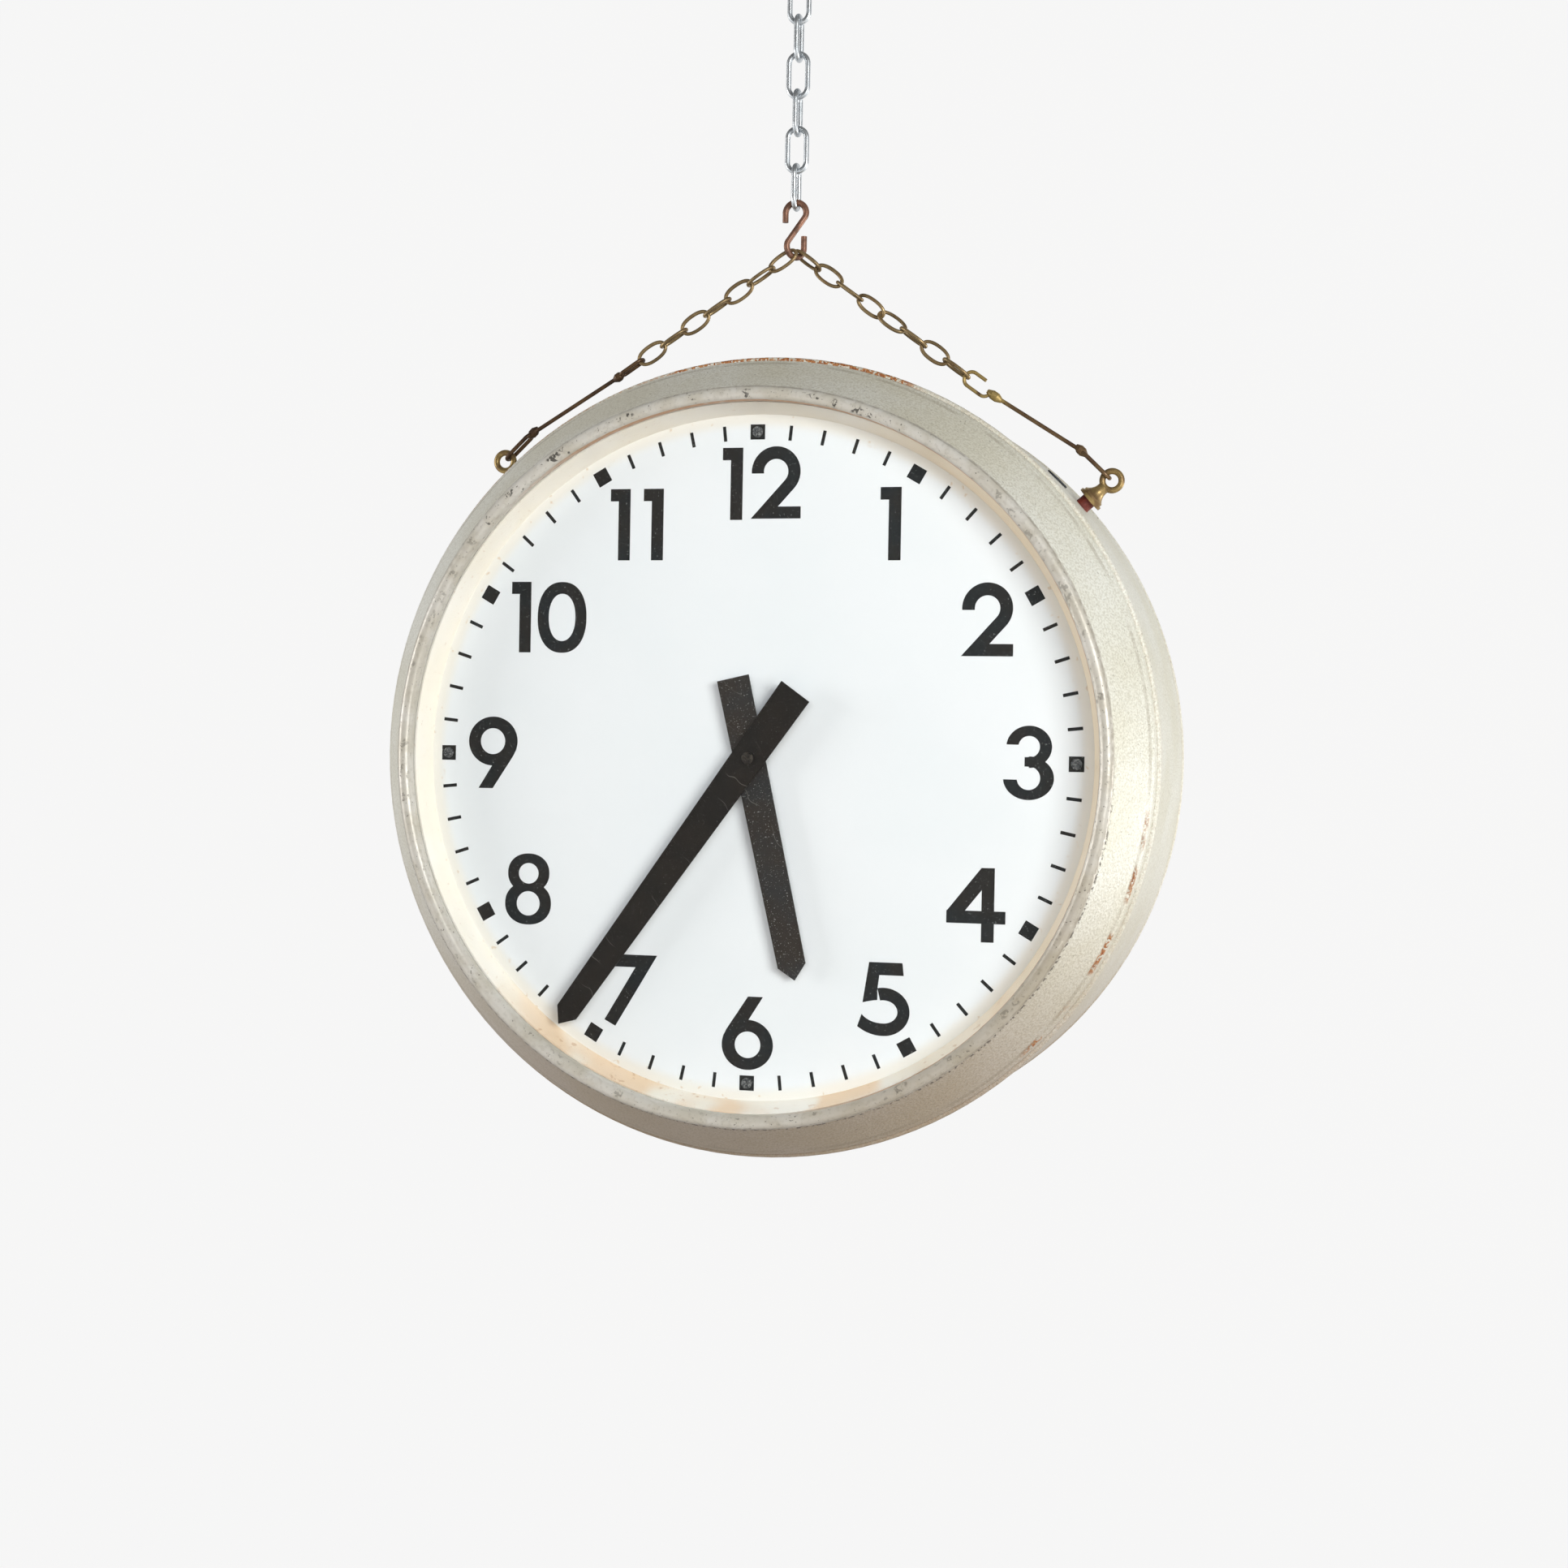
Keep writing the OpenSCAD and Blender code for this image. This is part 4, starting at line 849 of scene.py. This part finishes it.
@dataclass
class Digits:
    """Bold geometric digits, 39 mm high, drawn with strokes of one width."""

    half: float = 19.5
    stroke: float = 6.8

    def one(self) -> Digit:
        """A stem with a square flag.

        Returns:
            The digit.
        """
        right, flag = 5.0, -6.4
        left = right - self.stroke
        under_flag = self.half - 6.7
        stem = [(left, -self.half), (right, -self.half), (right, self.half)]
        return Digit([[*stem, (flag, self.half), (flag, under_flag), (left, under_flag)]])

    def two(self) -> Digit:
        """An arch, a straight slope tangent to it, and a flat base.

        Returns:
            The digit.
        """
        middle, outer = (-0.4, 5.8), 13.6
        inner = outer - self.stroke
        lean = math.radians(42.3)
        ends = [(middle[0] + r * math.cos(lean), middle[1] - r * math.sin(lean)) for r in (inner, outer)]
        base = -self.half + 6.5
        reach = [(x - (y - floor) * math.tan(lean), floor) for (x, y), floor in zip(ends, (-self.half, base))]
        arch = ring_part(middle, (outer, outer), (inner, inner), (184, -42.3), (188, -42.3))
        foot = [ends[0], ends[1], reach[1], (13.6, base), (13.6, -self.half), reach[0]]
        return Digit([arch, foot])

    def three(self) -> Digit:
        """Two bowls with straight-cut ends, and a short bar between them.

        Returns:
            The digit.
        """
        upper = ring_part((-0.3, 8.4), (12.1, 11.1), (5.7, 5.7), (174.5, -90), (170, -90))
        lower = ring_part((-0.4, -8.1), (13.5, 11.5), (6.2, 6.2), (90, -176), (90, -172))
        bar = [(-2.6, -2.0), (4.0, -2.0), (4.0, 3.0), (-2.6, 3.0)]
        return Digit([upper, lower, bar])

    def four(self) -> Digit:
        """A stem, a bar and a slope that leave a three-sided hole.

        Returns:
            The digit.
        """
        left, right = 2.3, 2.3 + self.stroke
        stem = [(left, -self.half), (right, -self.half), (right, 19.8), (left, 19.8)]
        bar = [(-16.5, -9.7), (15.2, -9.7), (15.2, -3.0), (-16.5, -3.0)]
        slope = [(-16.5, -3.5), (-6.9, -3.5), (2.6, 8.4), (2.6, 19.8), (2.0, 19.8)]
        return Digit([stem, bar, slope])

    def five(self) -> Digit:
        """A top bar, a leaning stem and a wide bowl with an open tail.

        Returns:
            The digit.
        """
        bar = [(-9.0, 19.2), (9.2, 19.2), (10.0, 12.4), (-3.3, 12.4), (-9.0, 12.4)]
        stem = [(-9.0, 19.2), (-2.4, 19.2), (-4.2, 5.3)]
        stem += curve((-4.2, -1.0), (-8.5, -1.4), (-12.3, -2.6))
        bowl = ring_part((-0.8, -7.2), (14.3, 12.9), (7.7, 6.2), (104, -90), (104, -90))
        tail = curve((-0.8, -20.1), (-8.5, -20.2), (-15.0, -15.4))
        tail += curve((-12.7, -8.8), (-8.4, -13.4), (-0.8, -13.4))
        return Digit([bar, stem, bowl, tail])

    def six(self) -> Digit:
        """A round bowl with a straight slanted stem.

        Returns:
            The digit.
        """
        stem = [(0.2, 20.2), (8.6, 20.2), (0.6, 7.4), (0.6, 0.0)]
        stem += [(-6.0, -3.0), (-13.6, -1.8), (-11.6, 2.2)]
        return Digit([oval((0.25, -6.0), (14.4, 13.6)), stem], [oval((0.4, -5.95), (7.2, 7.2))])

    def seven(self) -> Digit:
        """A bar and a leaning leg that is cut square."""
        leg = [(0.6, 12.0), (-16.8, -17.3), (-10.5, -20.6), (13.0, 18.8)]
        return Digit([[(-13.8, 18.8), (-13.8, 12.0), *leg]])

    def eight(self) -> Digit:
        """Two round bowls, the lower one larger."""
        ink = [oval((0.25, 8.8), (12.15, 10.8), 2.15), oval((0.1, -8.0), (13.5, 11.8), 2.15)]
        return Digit(ink, [oval((0.25, 8.6), (5.8, 5.7)), oval((0.2, -8.05), (6.75, 6.75))])

    def nine(self) -> Digit:
        """The six, turned upside down.

        Returns:
            The digit.
        """
        six = self.six()
        turned = [[(-x, -y) for x, y in outline] for outline in six.ink]
        return Digit(turned, [[(-x, -y) for x, y in outline] for outline in six.holes])

    def nought(self) -> Digit:
        """A tall oval."""
        return Digit([oval((0, 0), (14.25, self.half), 2.25)], [oval((0, 0), (7.8, 13.0), 2.15)])


@dataclass
class DialPrint:
    """The ink on one dial: numerals, minute marks and the squares at the hours.

    The sizes are in millimetres. The film starts a little below the dial's face, by sunk, and points that
    are nearer than join are taken as one.
    """

    side: Side
    centre: Vector
    dial_depth: float
    thick: float = 0.08
    sunk: float = 0.01
    join: float = 1e-5
    mark_out: float = 180.0
    mark_len: float = 8.1
    mark_w: float = 1.8
    square: float = 8.15

    def numbers(self) -> dict[tuple[float, float], list[tuple[Digit, float, float]]]:
        """Places the digits of the twelve hours on the dial.

        Returns:
            For the middle of each number, its digits and how far each one is to the right and up from there.
        """
        d = Digits()
        one, two = d.one(), d.two()
        return {
            (74.9, 126.1): [(one, 0, 0)],
            (127.7, 75.5): [(two, 0, 0)],
            (151.1, 0.3): [(d.three(), 0, 0)],
            (124.7, -75.4): [(d.four(), 0, 0)],
            (75.8, -126.8): [(d.five(), 0, 0)],
            (-0.3, -149.2): [(d.six(), 0, 0)],
            (-65.0, -127.7): [(d.seven(), 0, 0)],
            (-127.7, -74.7): [(d.eight(), 0, 0)],
            (-149.4, 0.8): [(d.nine(), 0, 0)],
            (-117.3, 75.4): [(one, -16.2, 0.3), (d.nought(), 7.0, 0.2)],
            (-66.7, 126.4): [(one, -9.9, 0), (one, 9.1, 0)],
            (2.8, 147.5): [(one, -15.8, 0.6), (two, 8.2, 1.2)],
        }

    def outlines(self) -> tuple[list[Outline], list[Outline]]:
        """Lists the outlines of the numbers, the minute marks and the hour squares.

        Returns:
            The outlines of the ink, and those of the holes in it.
        """
        ink, holes = [], []
        for (x, z), digits in self.numbers().items():
            for digit, dx, dz in digits:
                for source, target in ((digit.ink, ink), (digit.holes, holes)):
                    target.extend([(x + dx + u, z + dz + v) for u, v in line] for line in source)
        for minute in range(60):
            a = math.radians(6 * minute)
            hour = minute % 5 == 0
            half = (self.square if hour else self.mark_w) / 2
            inner = self.mark_out - (self.square if hour else self.mark_len)
            corners = [(-half, inner), (half, inner), (half, self.mark_out), (-half, self.mark_out)]
            c, s = math.cos(a), math.sin(a)
            ink.append([(u * c + v * s, v * c - u * s) for u, v in corners])
        return ink, holes

    def mesh(self) -> bpy.types.Mesh:
        """Fills the outlines and makes them a thin solid film on the dial.

        Returns:
            The film's mesh.
        """
        ink, holes = self.outlines()
        points, faces = [], []
        for outline in ink + holes:
            area = sum(a[0] * b[1] - b[0] * a[1] for a, b in zip(outline, outline[1:] + outline[:1]))
            faces.append(list(range(len(points), len(points) + len(outline))))
            points.extend(Vector(p) for p in (outline if area > 0 else outline[::-1]))
        # Type 0 fills the whole convex hull, so the triangles outside the ink are dropped
        places, _, triangles, _, _, owners = delaunay_2d_cdt(points, [], faces, 0, self.join, True)
        kept = [t for t, own in zip(triangles, owners) if own and all(o < len(ink) for o in own)]
        shape = bmesh.new()
        level = self.dial_depth - self.sunk
        turn = self.side.turn
        flat = [Vector((p.x * MM, -level * MM, self.centre.z + p.y * MM)) for p in places]
        spots = [shape.verts.new(turn @ p) for p in flat]
        for triangle in kept:
            shape.faces.new([spots[i] for i in triangle])
        bmesh.ops.delete(shape, geom=[v for v in shape.verts if not v.link_faces], context="VERTS")
        grown = bmesh.ops.extrude_face_region(shape, geom=shape.faces[:])
        rise = turn @ Vector((0, -self.thick * MM, 0))
        raised = [v for v in grown["geom"] if isinstance(v, bmesh.types.BMVert)]
        bmesh.ops.translate(shape, verts=raised, vec=rise)
        bmesh.ops.recalc_face_normals(shape, faces=shape.faces[:])
        made = bpy.data.meshes.new(f"{self.side.label}_dial_print")
        shape.to_mesh(made)
        shape.free()
        return made

    def build(self) -> None:
        """Adds the print to its dial."""
        ink = DialInk("screen_printed_black_enamel")
        new_piece(f"{self.side.label}_dial_print", self.mesh(), "case", ink)


def close_wire(shape: bmesh.types.BMesh, path: list[Vector], radii: list[float], sides: int = 20) -> None:
    """Runs a round wire along a path that ends where it starts.

    Args:
        shape: The mesh that the wire is added to.
        path: The wire's centre line, in one plane.
        radii: Its radius at each point of the path.
        sides: How many faces go round the wire.
    """
    rings = []
    normal = (path[0] - path[len(path) // 2]).cross(path[len(path) // 4] - path[0]).normalized()
    for i, (point, radius) in enumerate(zip(path, radii)):
        ahead = (path[(i + 1) % len(path)] - path[i - 1]).normalized()
        across = ahead.cross(normal)
        ring = []
        for k in range(sides):
            turn = math.tau * k / sides
            ring.append(shape.verts.new(point + radius * (math.cos(turn) * normal + math.sin(turn) * across)))
        rings.append(ring)
    for low, high in zip(rings, rings[1:] + rings[:1]):
        for k in range(sides):
            after = (k + 1) % sides
            shape.faces.new((low[k], low[after], high[after], high[k])).smooth = True


@dataclass
class OvalChain:
    """The brass chain links of the bridle, each bent to an oval from one wire.

    The sizes are in millimetres. The slopes of the two chains and the roll of each link are in degrees, and
    the middle of each chain's first link is measured from the apex.
    """

    apex: Vector
    finish: Finish
    wire: float = 2.1
    pitch: float = 15.3
    half_width: float = 4.25
    play: float = 0.05
    squareness: float = 2.3
    pinch: float = 0.05
    left_slope: float = 33.3
    right_slope: float = 35.9
    left_first: tuple[float, float, float] = (-6.44, -2.464, -2.163)
    right_first: tuple[float, float, float] = (6.822, 2.458, -1.598)
    left_rolls: tuple[float, ...] = (25.5, 93, -3, 86, -6, 84, -6)
    right_rolls: tuple[float, ...] = (-115.5, 162, 88, 26, -40, 78, -2, 76)

    def link(self, shape: bmesh.types.BMesh, centre: Vector, ahead: Vector, roll: float) -> None:
        """Adds one oval link.

        Args:
            shape: The mesh that the link is added to.
            centre: Its middle, in millimetres.
            ahead: The direction of its long axis.
            roll: Its turn about that axis, in degrees.
        """
        half = (self.pitch + self.wire + self.play) / 2
        lean = Matrix.Rotation(math.atan2(ahead.x, ahead.z), 3, "Y")
        frame = lean @ Matrix.Rotation(math.radians(roll), 3, "Z")
        flat = oval((0, 0), (self.half_width, half), self.squareness)
        path = [(centre + frame @ Vector((x, 0, z))) * MM for x, z in flat]
        # The wire is a little flattened where the link was pinched shut
        turns = [math.tau * i / len(path) for i in range(len(path))]
        radii = [self.wire / 2 * MM * (1.0 + self.pinch * math.cos(turn)) for turn in turns]
        close_wire(shape, path, radii)

    def build(self) -> None:
        """Adds both chains in place of the plain links."""
        shape = bmesh.new()
        left = (-1, self.left_slope, self.left_first, self.left_rolls)
        right = (1, self.right_slope, self.right_first, self.right_rolls)
        for sign, slope, first, rolls in (left, right):
            tilt = math.radians(slope)
            ahead = Vector((sign * math.cos(tilt), 0, -math.sin(tilt)))
            for k, roll in enumerate(rolls):
                self.link(shape, self.apex + Vector(first) + ahead * (k * self.pitch), ahead, roll)
        bmesh.ops.recalc_face_normals(shape, faces=shape.faces[:])
        mesh = bpy.data.meshes.new("oval_brass_links")
        shape.to_mesh(mesh)
        shape.free()
        links = new_piece("oval_brass_links", mesh, "bridle", self.finish)
        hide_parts("bridle_links")


@dataclass
class Clock:
    """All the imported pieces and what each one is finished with.

    The sizes are in millimetres: how far the lip stands in front of the middle of the case, half the
    width of the bezel's bead, and the wire of the S-hook.
    """

    frame: dict[str, Any]
    lip_depth: float = 58.3
    bead_half: float = 3.9
    hook_wire: float = 3.5

    def __post_init__(self) -> None:
        """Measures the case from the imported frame."""
        low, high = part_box("drum")
        self.centre = (low + high) / 2
        self.dial_depth = -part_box("front_dial")[0].y / MM
        self.centre_z = self.centre.z / MM
        self.lip_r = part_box("front_shell")[1].x / MM
        self.bezel_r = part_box("front_bezel")[1].x / MM

    def finishes(self) -> dict[str, Finish]:
        """Lists what each material slot is finished with.

        Returns:
            The finishes by the names of their slots.
        """
        crest = self.bezel_r - self.bead_half
        return {
            "galvanised_steel": BareMetal(
                "hot_dip_galvanised_steel", bright="d3d8dc", dark="b9bfc4", dirt="e4e6e6", patch_mm=7,
                roughness=(0.32, 0.5), metallic=0.9, bump_mm=0.02, dirt_share=0.2, grit_mm=3,
            ),
            "zinc_plate": BareMetal(
                "zinc_plated_steel", bright="c9cccc", dark="a5a8a8", dirt="8f9190", patch_mm=9,
                roughness=(0.3, 0.5), metallic=0.95, bump_mm=0.02,
            ),
            "oxidised_steel": BareMetal(
                "rusted_steel_wire", bright="8a6553", dark="644a3c", dirt="956650", patch_mm=7,
                roughness=(0.4, 0.6), metallic=0.5, bump_mm=0.02, dirt_share=0.35, grit_mm=3,
            ),
            "aged_brass": BareMetal(
                "aged_drawn_brass", bright="a38b5a", dark="7d6546", dirt="8d7b50", patch_mm=4,
                roughness=(0.34, 0.52), metallic=0.6, bump_mm=0.03,
            ),
            "dark_brass": BareMetal(
                "dark_patinated_brass", bright="8a6e50", dark="5a4432", dirt="76583c", patch_mm=9,
                roughness=(0.34, 0.55), metallic=0.6, bump_mm=0.02, dirt_share=0.25, grit_mm=3,
            ),
            "core_iron": BareMetal(
                "annealed_soft_iron", bright="6b6d70", dark="4b4d50", dirt="5a4c42", patch_mm=5,
                roughness=(0.45, 0.62), metallic=0.85, bump_mm=0.03,
            ),
            "red_fibre": Moulded(
                "vulcanised_red_fibre", base="7a2f22", mottle="571d15", dust="8d5a48",
                roughness=0.55, grit_mm=0.8, bump_mm=0.04,
            ),
            "rubber": Moulded(
                "aged_black_rubber", base="33363a", mottle="26282a", dust="74767a",
                roughness=0.62, grit_mm=0.9, bump_mm=0.04,
            ),
            "inner_steel": Moulded(
                "grey_primed_steel", base="5d6163", mottle="54585a", dust="7f817f",
                roughness=0.6, grit_mm=0.7, bump_mm=0.03,
            ),
            "block_plastic": Moulded(
                "ivory_urea_moulding", base="d9cfb4", mottle="cfc3a4", dust="a79c80",
                roughness=0.35, grit_mm=1.0, bump_mm=0.01,
            ),
            "case_paint": HammeredCasePaint(
                "stoved_silver_beige_paint", self.centre_z, self.lip_r, self.lip_depth, seam_r=self.bezel_r
            ),
            "bezel_paint": WornBezelPaint(
                "worn_silver_bezel_paint", self.centre_z, crest_r=crest, inner_r=crest - self.bead_half
            ),
            "ring_paint": CreamRingPaint("cream_gloss_enamel", self.centre_z),
            "dial_enamel": DialEnamel("stoved_white_enamel", self.centre_z),
            "black_paint": HandPaint("black_hand_paint", base="17110b", worn="100c08", dust_share=0.22),
            "glass": ClockGlass("drawn_sheet_glass"),
            "turned_brass": GrainedMetal(
                "turned_brass", bright="c9a45a", dark="96763a", grain_mm=(0.5, 0.12, 0.5), roughness=0.3
            ),
            "sheet_brass": GrainedMetal(
                "rolled_sheet_brass", bright="cfac62", dark="9c7d42", grain_mm=(6, 0.6, 0.3), roughness=0.34
            ),
            "turned_steel": GrainedMetal(
                "turned_steel", bright="b9bbbd", dark="85888b", grain_mm=(0.5, 0.12, 0.5), roughness=0.32
            ),
            "coil_wrap": WoundWire("varnished_copper_winding", wire_mm=0.5),
        }

    def extra_finishes(self) -> dict[str, Finish]:
        """Lists the nodes that look different from the rest of their slot.

        Returns:
            Their finishes by the names of the nodes.
        """
        low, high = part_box("bridle_rod_right")
        # The bead is 12 mm in and 8 mm down from the upper left corner of the rod's box
        bead = (low.x / MM + 12, 0.0, high.z / MM - 8)
        drawn = {"roughness": (0.34, 0.52), "metallic": 0.6, "bump_mm": 0.01, "dirt_share": 0.2, "grit_mm": 5}
        extra = {
            "bridle_rod_left": BareMetal(
                "brown_drawn_brass_rod", bright="6f563d", dark="463529", dirt="5c4531", patch_mm=12, **drawn
            ),
            "bridle_rod_right": RubbedRod(
                "rubbed_brass_rod", bright="836a4d", dark="5c4634", dirt="6d5139", patch_mm=11,
                spot=bead, **drawn,
            ),
            "dial_screws": BareMetal(
                "painted_over_screw", bright="5c5f61", dark="34373a", dirt="b5b7b4", patch_mm=1.5,
                roughness=(0.4, 0.6), metallic=0.3, bump_mm=0.06, dirt_share=0.6, grit_mm=0.8,
            ),
        }
        hub = BareMetal(
            "blackened_steel_screw", bright="4a443d", dark="2c2825", dirt="6d675f", patch_mm=2,
            roughness=(0.35, 0.5), metallic=0.7, bump_mm=0.03,
        )
        hour = HandPaint("black_hour_hand_paint", base="2a2a2a", worn="2d2722", dust_share=0.7)
        for side in Side:
            extra[f"{side.label}_hour_hand"] = hour
            extra[f"{side.label}_hub_screw"] = hub
        return extra

    def dress(self) -> None:
        """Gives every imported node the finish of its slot, or its own."""
        finishes = self.finishes()
        extra = self.extra_finishes()
        for row in self.frame["record"]["subparts"]:
            node = self.frame["nodes"][row["node"]]
            finish = extra.get(row["node"], finishes[row["material_slot"]])
            node.data.materials.clear()
            node.data.materials.append(finish.material())
            LOG.info("node %s: %s", row["node"], finish.name)

    def build(self) -> None:
        """Dresses the nodes and prints both dials."""
        self.dress()
        for side in Side:
            DialPrint(side, self.centre, self.dial_depth).build()
        apex = Vector((0, 0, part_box("s_hook")[0].z / MM + self.hook_wire / 2))
        links = BareMetal(
            "bronzed_brass_wire", bright="a28c66", dark="7b694b", dirt="93714a", patch_mm=8,
            roughness=(0.3, 0.48), metallic=0.6, bump_mm=0.01, dirt_share=0.35, grit_mm=4,
        )
        OvalChain(apex, links).build()


@dataclass(frozen=True)
class SoftBox:
    """A lamp behind a white cloth.

    Its place is measured from the middle of the clock, and its size is width and height, both in metres.
    Where it isn't mirrored, the glass shows no picture of it.
    """

    name: str
    place: tuple[float, float, float]
    size: tuple[float, float]
    watts: float
    colour: str
    mirrored: bool


@dataclass
class Studio:
    """The paper sweep, the lamps and the camera, in metres where the name gives no other unit.

    The camera's place, turn and lens were fitted to the dial's marks, and its place is measured from the
    middle of the clock.
    """

    clock: Clock
    picture_px: float = 1932.0
    focal_px: float = 3075.9
    sensor_mm: float = 36.0
    eye_mm: tuple[float, float, float] = (365.7, -1370.1, 7.3)
    yaw_deg: float = 14.99
    pitch_deg: float = 0.89
    roll_deg: float = 1.0
    clip_m: Point = (0.05, 50)
    floor_drop: float = 0.78
    wall_y: float = 1.5
    wall_top: float = 1.6
    bend_r: float = 0.5
    bend_steps: int = 16
    half_width: float = 4.0
    front_y: float = -3.0
    backdrop: str = "f9f9f9"
    backdrop_share: float = 0.97
    room: str = "f6f5f3"
    room_strength: float = 0.12

    def camera(self) -> None:
        """Places the camera where the photograph was taken from."""
        turn = Matrix.Rotation(math.radians(self.yaw_deg), 3, "Z")
        tilt = Matrix.Rotation(math.radians(90 - self.pitch_deg), 3, "X")
        roll = Matrix.Rotation(math.radians(self.roll_deg), 3, "Z")
        data = bpy.data.cameras.new("camera")
        data.sensor_width = self.sensor_mm
        data.lens = self.focal_px / self.picture_px * self.sensor_mm
        data.clip_start, data.clip_end = self.clip_m
        camera = bpy.data.objects.new("camera", data)
        x, y, z = self.eye_mm
        place = Matrix.Translation((x * MM, y * MM, self.clock.centre.z + z * MM))
        camera.matrix_world = place @ (turn @ tilt @ roll).to_4x4()
        bpy.context.scene.collection.objects.link(camera)
        bpy.context.scene.camera = camera

    def sweep(self) -> None:
        """Lays the paper as a floor that curves up into a wall."""
        floor = self.clock.centre.z - self.floor_drop
        bend = self.bend_r
        edges = (-self.half_width, self.half_width)
        profile = [(self.front_y, floor), (self.wall_y - bend, floor)]
        for i in range(1, self.bend_steps + 1):
            a = math.pi / 2 * i / self.bend_steps
            profile.append((self.wall_y - bend + bend * math.sin(a), floor + bend - bend * math.cos(a)))
        profile.append((self.wall_y, self.wall_top))
        shape = bmesh.new()
        rows = [[shape.verts.new((x, y, z)) for x in edges] for y, z in profile]
        for low, high in zip(rows, rows[1:]):
            shape.faces.new((low[0], low[1], high[1], high[0])).smooth = True
        mesh = bpy.data.meshes.new("paper_sweep")
        shape.to_mesh(mesh)
        shape.free()
        finish = StudioPaper("seamless_white_paper", self.backdrop, self.backdrop_share)
        mesh.materials.append(finish.material())
        paper = bpy.data.objects.new("paper_sweep", mesh)
        bpy.context.scene.collection.objects.link(paper)

    def lamp(self, lamp: SoftBox) -> None:
        """Adds a soft box that faces the middle of the clock.

        Args:
            lamp: The soft box.
        """
        data = bpy.data.lights.new(lamp.name, "AREA")
        data.shape, data.size, data.size_y = "RECTANGLE", *lamp.size
        data.energy = lamp.watts
        data.color = linear(lamp.colour)[:3]
        box = bpy.data.objects.new(lamp.name, data)
        box.location = self.clock.centre + Vector(lamp.place)
        box.rotation_euler = (-Vector(lamp.place)).to_track_quat("-Z", "Y").to_euler()
        box.visible_glossy = box.visible_transmission = lamp.mirrored
        bpy.context.scene.collection.objects.link(box)

    def lights(self) -> None:
        """Lights the clock from the front right, more weakly from the left and behind, in a dim room."""
        boxes = (
            SoftBox("window_right", (1.75, -2.0, 0.38), (1.2, 0.9), 50, "fffefb", True),
            SoftBox("window_left", (-2.1, -0.7, 0.2), (1.0, 0.9), 24, "fbf8f6", True),
            SoftBox("window_behind", (2.1, 0.8, -0.5), (0.9, 0.9), 27, "fffdfa", True),
            SoftBox("room_front", (0.4, -2.6, 0.45), (1.6, 1.0), 23, "fbfbff", False),
        )
        for box in boxes:
            self.lamp(box)
        world = bpy.data.worlds.new("room")
        world.use_nodes = True
        back = world.node_tree.nodes["Background"]
        back.inputs["Color"].default_value = linear(self.room)
        back.inputs["Strength"].default_value = self.room_strength
        bpy.context.scene.world = world

    def build(self) -> None:
        """Makes the stage, the lamps and the camera."""
        self.camera()
        self.sweep()
        self.lights()
        bpy.context.scene.view_settings.view_transform = "Standard"


def main() -> None:
    """Loads the frame, dresses the clock and sets the studio."""
    logging.basicConfig(level=logging.INFO, format="%(message)s")
    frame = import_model()
    clock = Clock(frame)
    clock.build()
    Studio(clock).build()


if __name__ == "__main__":
    main()
